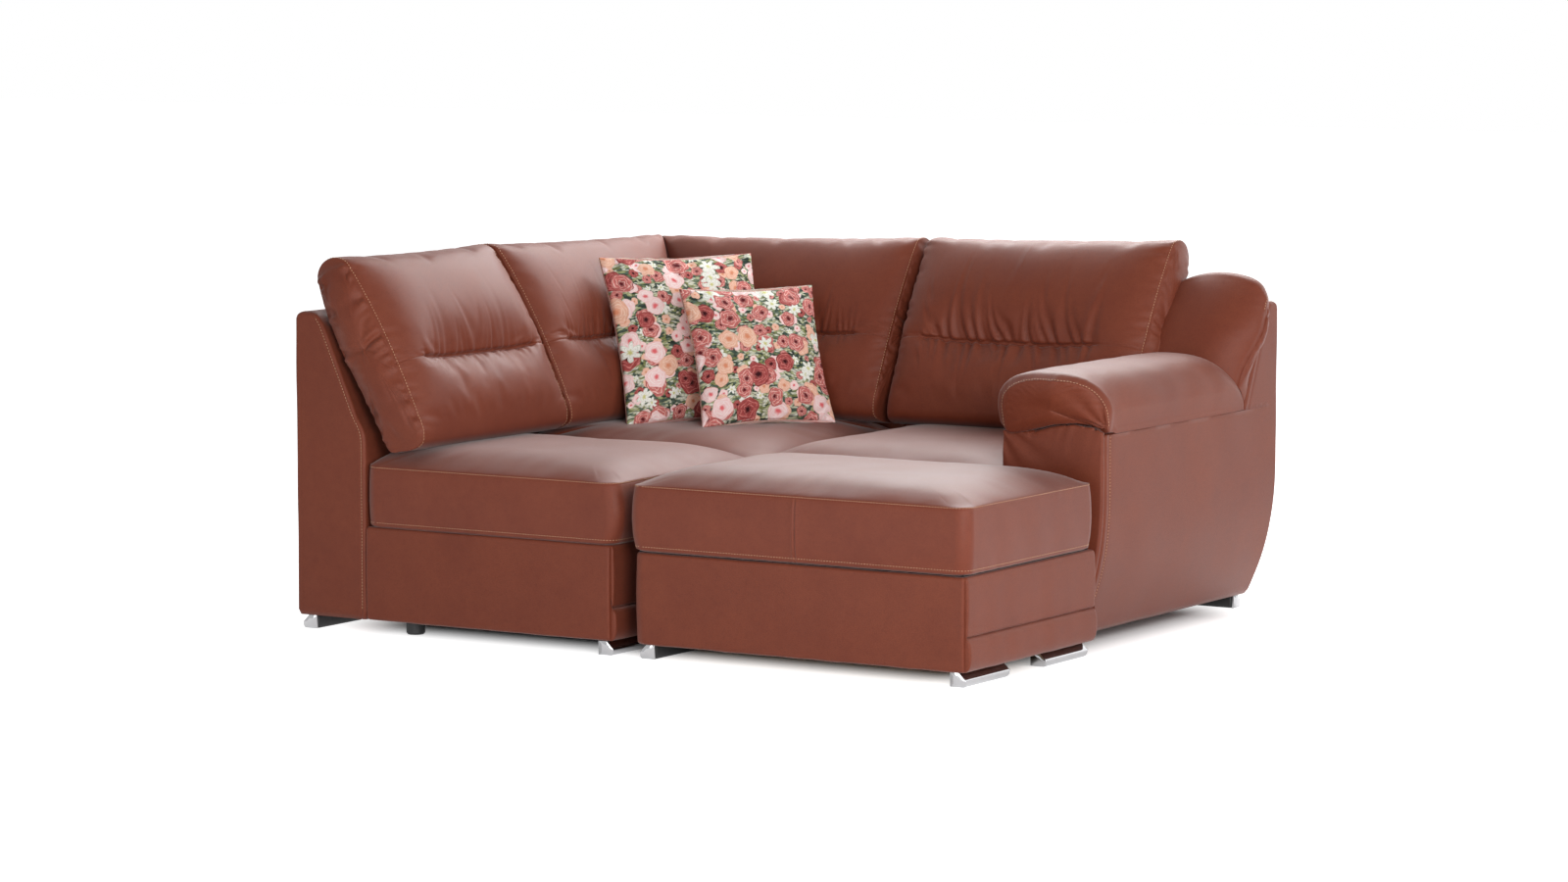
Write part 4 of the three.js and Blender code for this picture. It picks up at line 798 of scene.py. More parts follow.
def seat_cushion(name, plan, bottom, bulge, edges, group, body, nodes, seed, joins=(), skirt=0.0):
    """A border with bulging sides between two seams, a rolled top edge and a crowned top. Rings of
    rounded rectangles climb the border, then shrink to the middle; the crown is the product of one
    less a power of the distance across and along."""
    x0, x1, y0, y1 = plan
    border = SEAT_TOP_SEAM - bottom
    up = (ticks(0.0, border, 0.007, near=[0.009, border - 0.002], fan=(0.0012, 0.0025, 0.004)))
    up = up[up > 0.001]
    share = up / border
    swell = np.interp(share, [0, 0.2, 0.5, 0.8, 1], [0.0, 0.7, 1.0, 0.8, 0.35])
    swell = np.interp(share, np.linspace(0, 1, 21), np.convolve(np.pad(np.interp(
        np.linspace(0, 1, 21), [0, 0.2, 0.5, 0.8, 1], [0.0, 0.7, 1.0, 0.8, 0.35]), 2, "edge"),
        [0.15, 0.2, 0.3, 0.2, 0.15], "valid"))
    z = bottom + up
    # Tucks of the sewn edges
    lip = -0.004 * bell(up, 0.0025)
    side = lambda edge: -bulge[edge] * swell - lip
    grid, starts = stacked(x0 + side("left"), x1 - side("right"), y0 + side("front"), y1 - side("rear"),
                           z, 0.034, cell=0.010, arc=7)
    edge = grid[-1]
    centre = edge.mean(0)
    inwards = np.concatenate([[0.0007, 0.0018, 0.0035, 0.006, 0.009, 0.013, 0.018, 0.024, 0.031], np.linspace(0.039, 0.345, 46)])
    if (len(inwards) + len(grid)) % 2:
        inwards = np.delete(inwards, len(inwards) // 2)
    rings = centre + (edge[None] - centre) * (1 - inwards / 0.352)[:, None, None]
    x, y = rings[..., 0], rings[..., 1]
    low_edge, high_edge = edge.min(0), edge.max(0)
    rolled = dome(x - low_edge[0], edges["left"]) * dome(high_edge[0] - x, edges["right"])
    rolled = rolled * dome(y - low_edge[1], edges["front"]) * dome(high_edge[1] - y, edges["rear"])
    rings[..., 2] += (EDGE_RISE + SEAT_CROWN) * rolled
    under = grid[0] + (grid[0].mean(0) - grid[0]) * np.array([0.9, 0.6, 0.3, 0.08, 0.02])[:, None, None]
    under[..., 2] = bottom
    under[:4, :, 2] += skirt
    whole = np.concatenate([under, grid, rings])
    first = len(under)
    resting = smooth((SEAT_TOP_SEAM + 0.012 - whole[..., 2]) / 0.010)
    whole = inflated(whole, resting, 0.006, 0.012, pressure=3.0, soften=2)
    for x in joins:
        whole = finer_columns(whole, x, np.array([-11, -8, -6, -4.5, -3, -1.5, 0, 1.5, 3, 4.5, 6, 8, 11]) / 1000)
    normals = normals_of(whole)
    height = whole[..., 2]
    # Ease of the leather: soft dents on the top, drag lines from the seams on the border
    place = ring_lengths(whole)
    on_border = smooth((height - bottom) / 0.012) * smooth((SEAT_TOP_SEAM - height) / 0.02)
    on_top = smooth((height - SEAT_TOP_SEAM) / 0.02)
    move = 0.0016 * on_top * mottle(whole, 0.17, seed)
    move += 0.0010 * on_border * mottle(whole, 0.10, seed + 1)
    pull = ripples(place, (0.031, 0.047, 0.083), seed + 2) * mottle(whole, 0.30, seed + 3)
    move += 0.0016 * pull * bell(height - SEAT_TOP_SEAM, 0.022) * (1 - 0.7 * on_top)
    move += 0.0012 * pull * bell(height - bottom, 0.025)
    move -= SEAM_DEPTH * bell(height - (SEAT_TOP_SEAM - 0.002), 0.0022)
    whole += normals * move[..., None]
    for x in joins:
        # A sewn join up the front of the border: a groove between two low ridges
        seen = on_border * (whole[..., 1] < y0 + 0.01)
        away = whole[..., 0] - x
        whole += normals * (seen * (0.0016 * bell(np.abs(away) - 0.0052, 0.003) - 0.0022 * bell(away, 0.0022)))[..., None]
    normals = normals_of(whole)
    row_of = lambda level: first + float(np.interp(level, z[: len(up)], np.arange(len(up))))
    count = whole.shape[1]
    for level in (SEAT_TOP_SEAM - 0.0005, bottom + 0.009):
        stitch(group, *along_row(whole, normals, row_of(level + 0.003), 0, count))
    piece = skin(name, whole, SEAT_HIDE, body, nodes)
    return piece


def seats():
    hidden, free = 0.001, 0.024
    whole = dict(left=1, right=1, front=1, rear=1)
    seat_cushion("end_seat_pad", (0.213, 0.941, 0.0, 0.652), SEAT_LOWER_SEAM,
                 dict(left=0, right=free, front=free / 4, rear=hidden), {**whole, "left": 0.2},
                 "end", "sofa", ["end_seat_cushion"], 31)
    seat_cushion("corner_seat_pad", (0.213, 0.941, 0.657, 1.387), SEAT_LOWER_SEAM,
                 dict(left=0, right=hidden, front=hidden, rear=0), {**whole, "left": 0.2, "rear": 0.2},
                 "corner", "sofa", ["corner_seat_cushion"], 41)
    seat_cushion("arm_seat_pad", (0.946, 1.649, 0.662, 1.387), SEAT_LOWER_SEAM,
                 dict(left=hidden, right=0, front=free / 2, rear=0), {**whole, "rear": 0.2},
                 "arm", "sofa", ["arm_seat_cushion"], 51)
    seat_cushion("ottoman_pad", (1.003, 1.919, -0.004, 0.612), 0.2612,
                 dict(left=0.009, right=0.009, front=0.009, rear=0.003), whole,
                 "lid", "ottoman_lid", ["ottoman_cushion"], 61, joins=[1.462], skirt=0.0074)


# Back cushions

TUFT_LEVEL = 0.37
FRONT_SHARES = np.array([0.02, 0.09, 0.17, 0.24, 0.30, 0.325, 0.348, 0.37, 0.392, 0.415, 0.45, 0.55, 0.67, 0.79, 0.90])
TOP_SHARES = np.array([0.2, 0.4, 0.6, 0.8])
REAR_SHARES = np.array([0.9, 0.75, 0.55, 0.35, 0.15])
BOTTOM_SHARES = np.array([[0, 0], [0.3, 0.68], [0.6, 1], [0.88, 0.78]])
BACK_PAD = dict(gusset=0.118, height=0.500, crown=0.047, rear=0.022, sag=0.027, rise=-0.004, tilt=0.0, round=0.0, power=4)


def end_round_share(along, pad):
    """Thickness share of a pad whose far end is drawn back by a quarter ellipse."""
    past = np.clip((along - 0.6) / 0.4, 0, 1)
    return 1 - pad["round"] * (1 - np.sqrt(1 - past**2))


def pad_sections(along, pad, lift=(0.0, 0.0), ease=0.0):
    """Closed (thickness, height, facing) rings of a leaning pad: a sagging bottom, a crowned front,
    a round top and a bulging rear, each from control points joined by cubic pieces. Lift raises the
    top at the two ends, and ease draws the front back by a quarter ellipse near the start."""
    a = along[:, None]
    off = np.abs(2 * a - 1)
    puff_ends = np.sqrt(np.maximum(0.0, 1 - off ** pad["power"]))
    crown_ends = np.maximum(0.0, 1 - off**3) ** 0.6
    raised = pad["rise"] * puff_ends - pad["tilt"] * (1 - a) + lift[0] * (1 - a) + lift[1] * a
    climb = 1 + raised / pad["height"]
    before = np.clip(1 - a / 0.075, 0, 1)
    shrunk = end_round_share(a, pad) * (1 - ease * (1 - np.sqrt(1 - before**2)))
    front = lambda up: shrunk * (pad["gusset"] * (1 - 0.28 * up**3)
                                 + pad["crown"] * np.sin(np.pi * up) ** 0.6 * crown_ends)
    rear = lambda up: -pad["rear"] * np.sin(np.pi * up**1.6) * np.ones_like(a)
    zero = np.zeros_like(a)
    bottom = [np.stack([shrunk * pad["gusset"] * n, -pad["sag"] * t + zero, zero], -1) for n, t in BOTTOM_SHARES]
    face = [np.stack([front(u), u * pad["height"] * climb, zero + 1], -1) for u in FRONT_SHARES]
    start, end = front(FRONT_SHARES[-1]), rear(REAR_SHARES[0])
    top = []
    for share in TOP_SHARES:
        level = FRONT_SHARES[-1] + (REAR_SHARES[0] - FRONT_SHARES[-1]) * share + 0.1 * np.sin(np.pi * share)
        width = (start + end) / 2 + (start - end) / 2 * np.cos(np.pi * share)
        top.append(np.stack([width, level * pad["height"] * climb, zero + 0.5 - share / 2], -1))
    back = [np.stack([rear(u), u * pad["height"] * climb, zero], -1) for u in REAR_SHARES]
    return np.concatenate(bottom + face + top + back, 1)


def pad_front(along, up, pad):
    """Thickness to the front of a leaning pad at shares of its width and height."""
    ends = np.maximum(0.0, 1 - np.abs(2 * along - 1)**3) ** 0.6
    crown = pad["crown"] * np.sin(np.pi * np.clip(up, 0, 1)) ** 0.6 * ends
    return end_round_share(along, pad) * (pad["gusset"] * (1 - 0.28 * up**3) + crown)


CAP = np.concatenate([np.linspace(0.04, 0.86, 13), [0.90, 0.935, 0.96, 0.978, 0.990]])
PAD_START = {"end_back_cushion": 0.014, "corner_back_cushion_left": 0.657,
             "corner_back_cushion_rear": 0.0, "arm_back_cushion": 0.946}


def folded(wave):
    """Turns an even wave into folds: narrow valleys between broad ridges."""
    return 0.6 * np.maximum(0.0, wave) ** 0.8 - np.maximum(0.0, -wave) ** 0.7


def gathers(place, away, tuft, seed):
    """Folds that stand on the crease and fade away from it, longer ones above than below."""
    drift = place + away * (0.35 * ripples(place, (0.11, 0.19), seed) + tuft["slant"] / (1 + np.abs(away) / 0.10))
    above = folded(1.6 * ripples(drift, (0.026, 0.039, 0.064), seed + 1))
    below = folded(1.4 * ripples(drift, (0.025, 0.035, 0.055), seed + 2))
    reach = 0.70 + 0.55 * ripples(place, (0.05, 0.083, 0.13), seed + 3)
    distance = np.abs(away)
    rising = 1 - np.exp(-distance / 0.004)
    tall = tuft["above"] * above * np.exp(-(distance / (tuft["tall"] * reach)) ** 1.3)
    short = tuft["below"] * below * np.exp(-(distance / (tuft["low"] * reach)) ** 1.3)
    return np.where(away > 0, tall, short) * rising


def back_cushion(name, node, across, towards, width, start, end_swell, tuft, group, seed,
                 flare=(0.0, 0.1, 0.26), lift=(0.0, 0.0), ease=0.0, tuck=0.0, limit=None, clear=None,
                 ends=(True, True), sewn=(True, True), puckers=(0.2, 0.9, 1.0, 0.0066, 0.0026), pad=BACK_PAD, body="sofa",
                 drawn=(0.0, 0.0, 1),
                 per=8, step=0.0055, cap=0.012, slack=0.014, soften=1, beside=(0.0042, 0.0042)):
    """A leaning pad whose sections run along its width. One sewn tuft draws the front in: a wide
    dip that falls off exponentially, a sharp crease and gathers. The ends are bulging panels."""
    across, towards = np.array(across, float), np.array(towards, float)
    out = towards * np.cos(BACK_LEAN) + np.array([0, 0, np.sin(BACK_LEAN)])
    up = -towards * np.sin(BACK_LEAN) + np.array([0, 0, np.cos(BACK_LEAN)])
    near = np.array([0.0015, 0.003, 0.0045, 0.006, 0.0085]) / width
    stations = np.unique(np.concatenate([[0, 1], near, 1 - near, ticks(0.012 / width, 1 - 0.012 / width, step / width)]))
    stations = odd(stations)
    along = np.concatenate([np.zeros(len(CAP)), stations, np.ones(len(CAP))])
    keep = np.concatenate([CAP, np.ones(len(stations)), CAP[::-1]])[:, None]
    front_panel = keep >= 1
    side_swell = np.concatenate([np.full(len(CAP), -start), 0 * stations, np.full(len(CAP), end_swell)])[:, None]
    swell = (1 - keep**2.8) * side_swell
    ring = through(pad_sections(along, pad, lift, ease), per)
    thick, high = ring[..., 0], ring[..., 1]
    facing = np.clip(ring[..., 2], 0, 1) * front_panel
    a = along[:, None]
    place = a * width + swell
    away = high - TUFT_LEVEL * pad["height"]
    front = (ring[..., 2] > 0.5) * front_panel
    if tuft:
        wide = smooth((a - tuft["start"]) / 0.2) * smooth((tuft["end"] - a) / 0.2) * front
        sharp = smooth((a - tuft["start"]) / 0.03) * smooth((tuft["end"] - a) / 0.05) * front
        fall = np.where(away > 0, 0.062, 0.045)
        thick = thick - tuft["depth"] * wide * np.exp(-np.abs(away) / fall)
        thick = thick - 0.009 * sharp * np.exp(-np.abs(away) / 0.008)
    middle_thick = pad["gusset"] / 2 * end_round_share(along, pad)[:, None]
    middle_high = pad["height"] / 2
    thick = middle_thick + (thick - middle_thick) * keep
    high = middle_high + (high - middle_high) * keep
    amount, flare_from, flare_over = flare
    place = place + amount * smooth((high / pad["height"] - flare_from) / flare_over) * smooth(2 * a - 1)
    low_shift, high_shift, moved_end = drawn
    level = np.clip(high / pad["height"], 0, 1)
    place = place + (low_shift + (high_shift - low_shift) * level) * smooth((2 * a - 1) if moved_end else (1 - 2 * a))
    behind = 1 - np.clip(thick / (2 * middle_thick), 0, 1)
    place = place - tuck * smooth((a - 0.8) / 0.2) * behind * smooth(high / 0.15)
    grid = across * place[..., None] + out * thick[..., None] + up * high[..., None]
    # Set against the CAD solid: rear and bottom at its box
    low, top = extent(node)
    side = 0 if abs(towards[0]) > 0.5 else 1
    shift = np.zeros(3)
    shift[side] = low[0] - grid[..., 0].min() if side == 0 else top[1] - grid[..., 1].max()
    shift[2] = low[2] - grid[..., 2].min()
    shift[1 - side] = PAD_START.get(node, low[1 - side])
    grid = grid + shift
    if limit is not None:
        grid = limit(grid, a)
    # Swelled as cloth, held at its seams, its crease, its rear and where it rests
    seam_distance = np.where(front_panel, np.minimum(a, 1 - a) * width, (1 - keep) * 0.06)
    held = np.maximum(bell(seam_distance, 0.006), smooth((0.3 - facing) / 0.2) * front_panel)
    held = np.maximum(held, smooth((0.03 - high) / 0.02))
    if tuft:
        held = np.maximum(held, sharp * bell(away, 0.006))
    grid = inflated(grid, np.clip(held, 0, 1), cap, slack, soften=soften)
    normals = normals_of(grid)
    move = 0.0015 * mottle(grid, 0.15, seed + 4) * np.maximum(facing, 0.3)
    if tuft:
        move = move + front * sharp * (gathers(place, away, tuft, seed) - 0.007 * np.exp(-np.abs(away) / 0.003))
        move = move - front * (1 - sharp) * 0.0020 * bell(away, 0.0024)
    # Puckers along the end seams
    for at, seen in zip((0.0, 1.0), ends):
        if not seen:
            continue
        mine = np.abs(a - at) < 0.3
        distance = np.where(front_panel, np.abs(a - at) * width, (1 - keep) * 0.06)
        panel = ~front_panel
        low_share, high_share, spread, on_panel, on_front = puckers
        some = smooth((high / pad["height"] - low_share + 0.2) / 0.2) * smooth((high_share + 0.1 - high / pad["height"]) / 0.2)
        lengths = spread * np.array([0.024, 0.034, 0.053])
        pull = folded(1.3 * ripples(high + distance * 0.25, lengths, seed + 5)) * (
            0.55 + 0.45 * ripples(high, (0.11, 0.17), seed + 6)) * (0.25 + 0.75 * some)
        fade = np.where(panel, 0.038, 0.030)
        move = move + mine * np.where(panel, on_panel, on_front) * pull * np.exp(-(distance / fade) ** 1.4) * (
            1 - np.exp(-distance / 0.0025))
        move = move - mine * SEAM_DEPTH * bell(distance, 0.0024)
    grid = grid + normals * move[..., None]
    if clear is not None:
        grid = clear(grid)
    normals = normals_of(grid)
    first = len(CAP)
    begin, finish = int(2.4 * per), int(22.0 * per)
    row = lambda place_: first + float(np.interp(place_, stations * width, np.arange(len(stations))))
    if ends[0] and sewn[0]:
        stitch(group, *along_row(grid, normals, row(beside[0]), begin, finish))
    if ends[1] and sewn[1]:
        begin = int(17.4 * per) if sewn[1] == "top" else begin
        finish = int(20.4 * per) if sewn[1] == "top" else finish
        stitch(group, *along_row(grid, normals, row(width - beside[1]), begin, finish))
    piece = skin(name, grid, HIDE, body, [node])
    return grid


def left_mitre(grid, along):
    """Draws the stations in so that the far end lies on the plane that halves the corner."""
    y0 = 0.657
    limit = SOFA_DEPTH - grid[..., 0] - 0.003
    width = 0.943
    y = y0 + (grid[..., 1] - y0) / width * (limit - y0)
    return np.stack([grid[..., 0], np.minimum(y, limit), grid[..., 2]], -1)


def rear_mitre(grid, along):
    limit = SOFA_DEPTH - grid[..., 1] + 0.003
    width = 0.928
    x = width - (width - grid[..., 0]) / width * (width - limit)
    return np.stack([np.maximum(x, limit), grid[..., 1], grid[..., 2]], -1)


def tufted(start, end, depth, above, below, tall, low=0.026, slant=0.0):
    """One sewn crease: from start to end of the width, with the size of its dip and gathers."""
    return dict(start=start, end=end, depth=depth, above=above, below=below, tall=tall, low=low,
                slant=slant)


def back_cushions():
    back_cushion("end_back_pad", "end_back_cushion", (0, 1, 0), (1, 0, 0), 0.633, 0.024, 0.001,
                 tufted(0.13, 0.93, 0.026, 0.0030, 0.0044, 0.075), "end", 71, puckers=(0.0, 1.0, 1.05, 0.0118, 0.0030))
    back_cushion("corner_back_pad_left", "corner_back_cushion_left", (0, 1, 0), (1, 0, 0), 0.943, 0.001, 0.0,
                 tufted(0.11, 0.9, 0.026, 0.0038, 0.0034, 0.07), "corner", 81, lift=(0.0, -0.020),
                 limit=left_mitre, ends=(True, False), beside=(0.011, 0.0042))
    back_cushion("corner_back_pad_rear", "corner_back_cushion_rear", (1, 0, 0), (0, -1, 0), 0.928, 0.0, 0.016,
                 tufted(0.12, 0.88, 0.026, 0.0038, 0.0034, 0.07), "corner", 91, lift=(-0.024, 0.0),
                 limit=rear_mitre, ends=(False, True), drawn=(0.036, 0.020, 1))
    back_cushion("arm_back_pad", "arm_back_cushion", (1, 0, 0), (0, -1, 0), 0.690, 0.001, 0.016,
                 tufted(0.12, 0.86, 0.031, 0.0084, 0.0074, 0.105, 0.07, 0.55), "arm", 101, flare=(0.064, 0.1, 0.26),
                 lift=(0.0, 0.018), ease=0.22, clear=beside_arm, sewn=(False, True), puckers=(0.3, 1.0, 1.1, 0.0062, 0.0046),
                 drawn=(0.036, 0.020, 0))


# Armrest

PAD_LEFT, PAD_RIGHT, PAD_BOTTOM, PAD_TOP = 1.637, 1.938, 0.5293, 0.677
NOSE, PAD_REAR, PAD_ROUND = 0.594, 1.406, 0.155
ROUND_FROM = PAD_REAR - PAD_ROUND
# Lower edge of the pad's nose over the arm's top, from left to right across the front
NOSE_EDGE = np.array([[1.640, -0.016], [1.656, -0.014], [1.716, 0.000], [1.796, 0.021], [1.850, 0.026],
                      [1.903, 0.020], [1.925, 0.009], [1.938, 0.006]])


def pad_shares(share, y):
    """Half width, middle, top and waist of the armrest pad at shares of its length."""
    past = np.maximum(0.0, (y - ROUND_FROM) / (PAD_ROUND * 1.04))
    rounded = np.sqrt(np.maximum(0.0, 1 - past**2))
    before = (1 - smooth(share / 0.05))**2
    tall = (0.02 + 0.98 * rounded) * (1 - 0.10 * before)
    left = PAD_LEFT + 0.028 * before
    right = PAD_LEFT + (PAD_RIGHT - PAD_LEFT) * (0.94 + 0.06 * rounded) - 0.006 * before
    top = PAD_BOTTOM + (PAD_TOP - PAD_BOTTOM) * tall
    waist = PAD_BOTTOM + (top - PAD_BOTTOM) * 0.36
    return (right - left) / 2, (left + right) / 2, top, waist


def pad_top_at(x, y):
    """Height of the pad's upper side over a place in the plan, or far below outside it."""
    half, middle, top, waist = pad_shares((y - NOSE) / (PAD_REAR - NOSE), y)
    cosine = np.clip(np.abs(x - middle) / half, 0, 1) ** (1 / 0.8)
    z = waist + (top - waist) * np.sqrt(np.maximum(0.0, 1 - cosine**2)) ** 0.85
    inside = (np.abs(x - middle) < half) & (y > NOSE) & (y < PAD_REAR)
    return np.where(inside, z, -1.0)


def beside_arm(grid):
    """Keeps the last back cushion off the ear and the armrest pad: its rear stays before the ear's
    front, and its side stays left of the pad's outline."""
    out = np.array([0, -np.cos(BACK_LEAN), np.sin(BACK_LEAN)])
    up = np.array([0, np.sin(BACK_LEAN), np.cos(BACK_LEAN)])
    low = EAR_BASE @ out
    high = (grid @ up - EAR_BASE @ up) / (EAR_PAD["height"] + 0.5 * EAR_PAD["rise"])
    along = (grid[..., 0] - (ARM_INNER + 0.001)) / EAR_WIDTH
    reach = low + pad_front(np.clip(along, 0, 1), np.clip(high, 0, 0.93), EAR_PAD) + 0.002
    over = smooth(along / 0.02) * smooth((1.05 - high) / 0.08)
    depth = grid @ out
    move = np.maximum(0.0, reach - depth) * over
    grid = grid + out * move[..., None]
    half, middle, top, waist = pad_shares(0.7, np.clip(grid[..., 1], NOSE + 0.1, PAD_REAR - 0.02))
    rise = np.clip((grid[..., 2] - waist) / (top - waist), 0, 1)
    side = middle - half * np.sqrt(np.maximum(0.0, 1 - rise ** (2 / 0.85))) ** 0.8 - 0.002
    under = (grid[..., 2] < top) & (grid[..., 1] < PAD_REAR)
    x = np.where(under, np.minimum(grid[..., 0], side), grid[..., 0])
    return np.stack([x, grid[..., 1], grid[..., 2]], -1)


EAR_PAD = dict(gusset=0.104, height=0.252, crown=0.020, rear=0.0, sag=0.0, rise=0.094, tilt=0.045, round=0.5, power=2)
EAR_WIDTH = 0.274


def shell_reach():
    return float(np.max(SHELL[:, 1] * np.cos(BACK_LEAN) + SHELL[:, 0] * np.sin(BACK_LEAN)))


EAR_BASE = np.array([ARM_INNER + 0.001, SOFA_DEPTH - (shell_reach() + 0.0003 - (ARM_TOP + 0.0003) * np.sin(BACK_LEAN))
                     / np.cos(BACK_LEAN), ARM_TOP + 0.0003])


def armrest_pad():
    """A pad over the arm: sections like rounded tulips from a leaning nose to a rounded rear end.
    The nose hangs over the arm front, and its panel is framed by a stitched arc."""
    lengths = np.concatenate([[0, 0.0015, 0.003, 0.0045, 0.006, 0.009, 0.013], np.arange(0.019, PAD_REAR - NOSE - 0.03, 0.0065),
                              PAD_REAR - NOSE - np.array([0.026, 0.020, 0.014, 0.009, 0.005, 0.002, 0.0])])
    lengths = odd(lengths)
    share = lengths / (PAD_REAR - NOSE)
    y = NOSE + lengths
    half, middle, top, waist = (v[:, None] for v in pad_shares(share, y))
    count = 208
    angle = np.arange(count) / count * 2 * np.pi
    sine, cosine = np.sin(angle)[None], np.cos(angle)[None]
    # The nose's underside is round; behind it both lower corners are nearly square
    square = smooth((y - 0.640) / 0.06)[:, None]
    height = np.where(sine > 0, 0.85, 0.35 - 0.23 * square)
    width = np.where(sine > 0, 0.8, 0.25 - 0.17 * square)
    room = np.where(sine > 0, top - waist, waist - PAD_BOTTOM)
    z = waist + np.sign(sine) * room * np.abs(sine) ** height
    x = middle + half * np.sign(cosine) * np.abs(cosine) ** width
    lean = 0.044 * (1 - smooth(share / 0.3))[:, None]
    yy = y[:, None] + lean * (top - z) / (top - PAD_BOTTOM)
    yy = yy + 0.034 * smooth((x - 1.81) / 0.12) * (1 - smooth(share / 0.13))[:, None]
    grid = np.stack([x, np.broadcast_to(yy, x.shape), z], -1)
    # Behind the nose the outer side comes down flush onto the arm's side
    over = np.maximum(0.0, grid[..., 0] - 1.9258) * smooth((0.612 - grid[..., 2]) / 0.075)
    grid[..., 0] -= over * smooth((grid[..., 1] - 0.650) / 0.05)
    # The nose's lower edge
    edge = np.interp(grid[..., 0], NOSE_EDGE[:, 0], NOSE_EDGE[:, 1])
    low = smooth((0.62 - (grid[..., 2] - PAD_BOTTOM) / (PAD_TOP - PAD_BOTTOM)) / 0.6)
    ahead = np.where(edge > 0, smooth((0.682 - grid[..., 1]) / 0.018), smooth((0.649 - grid[..., 1]) / 0.008))
    grid[..., 2] += edge * low * ahead
    caps = []
    for end, centre_y, bulge in ((0, -1, 0.016), (-1, 1, 0.004)):
        ring = grid[end]
        centre = ring.mean(0)
        keep = CAP[:, None, None]
        cap = centre + (ring - centre) * keep
        cap[..., 1] += centre_y * bulge * (1 - keep[..., 0]**2.6)
        caps.append(cap if end == 0 else cap[::-1])
    whole = np.concatenate([caps[0], grid, caps[1]])
    first = len(CAP)
    rests = smooth((0.545 - whole[..., 2]) / 0.012) + bell(np.abs(np.arange(len(whole)) - first), 1.5)[:, None]
    whole = inflated(whole, np.clip(rests, 0, 1), 0.006, 0.004, soften=5)
    whole[..., 2] = np.maximum(whole[..., 2], np.where(whole[..., 1] > 0.652, PAD_BOTTOM, 0.0))
    normals = normals_of(whole)
    round_ring = ring_lengths(whole)
    row_keep = np.concatenate([CAP, np.ones(len(share)), CAP[::-1]])[:, None]
    distance = np.concatenate([(1 - CAP) * 0.08, lengths, np.full(len(CAP), 1.0)])[:, None]
    panel = np.concatenate([np.ones(len(CAP)), np.zeros(len(share) + len(CAP))])[:, None]
    move = 0.0018 * mottle(whole, 0.14, 111)
    move -= SEAM_DEPTH * bell(distance, 0.0024)
    pull = ripples(round_ring, (0.019, 0.027, 0.040), 112) * (0.5 + 0.5 * ripples(round_ring, (0.11, 0.17), 113))
    pull = folded(pull)
    move += (0.0014 + 0.0020 * panel) * pull * np.exp(-distance / 0.020) * (1 - np.exp(-distance / 0.002))
    # Folds that fan from the lower right of the nose
    px, pz = whole[..., 0] - 1.925, whole[..., 2] - 0.548
    ray = np.arctan2(pz, -px)
    far = np.hypot(px, pz)
    move += panel * 0.0052 * folded(np.cos(ray * 10 + 0.6)) * np.exp(-far / 0.065) * smooth(far / 0.012)
    # The dents and folds are damped on the lower outer side, where the pad comes down flush onto the arm
    outer = smooth((whole[..., 0] - 1.90) / 0.02)
    move *= 1 - 0.9 * outer * (1 - panel) * smooth((0.60 - whole[..., 2]) / 0.05)
    whole = whole + normals * move[..., None]
    normals = normals_of(whole)
    # Stitches over the arc of the nose
    begin, finish = -int(0.055 * count), int(0.545 * count)
    path, ways = along_row(whole, normals, first + 2.8, begin + count, finish + count)
    stitch("arm", path, ways)
    piece = skin("armrest_pad_cover", whole, HIDE, "sofa", ["armrest_pad"])


def arm_outline(z):
    """Outer side of the arm: a cubic curve from the tucked foot to the upright side."""
    foot = ARM_OUTER - 0.080
    t = np.linspace(0, 1, 60)
    x = (1 - t)**3 * foot + 3 * t * (1 - t)**2 * (foot + 0.040) + 3 * t**2 * (1 - t) * ARM_OUTER + t**3 * ARM_OUTER
    up = (1 - t)**3 * GROUND + 3 * t * (1 - t)**2 * (GROUND + 0.0875) + 3 * t**2 * (1 - t) * (GROUND + 0.175) + t**3 * (GROUND + 0.350)
    return np.interp(z, up, x)


def armrest_body():
    """Rounded rectangles stacked in height: the outer side follows the tucked outline, and above
    the arm the front follows the slope of the back shell."""
    lower = ticks(GROUND + 0.0003, ARM_TOP, 0.012)
    upper = np.concatenate([ticks(ARM_TOP + 0.0005, 0.770, 0.013), 0.770 + 0.0248 * np.sin(np.linspace(0, np.pi / 2, 10))[1:]])
    z = np.concatenate([lower, upper])
    front = np.where(z <= ARM_TOP, ARM_FRONT, SOFA_DEPTH - shell_front(z))
    foot = end_round(z, GROUND, 2.0, 0.006)
    inset = end_round(z, GROUND - 0.02, 0.7955, 0.012)
    grid, starts = stacked(ARM_INNER + foot + inset, arm_outline(z) - foot - inset, front + foot,
                           SOFA_DEPTH - shell_rear(z) - foot, z, 0.010, cell=0.014)
    grid = uneven(grid, 0.0012, 0.20, 121)
    below = int(np.searchsorted(z, ARM_TOP - 0.012))
    seam_on_column("arm", grid, starts["right"][0] + 6, 2, below, beside=1.1)
    skin("armrest_body_cover", grid, HIDE, "sofa", ["armrest_body"])
    arm_front()


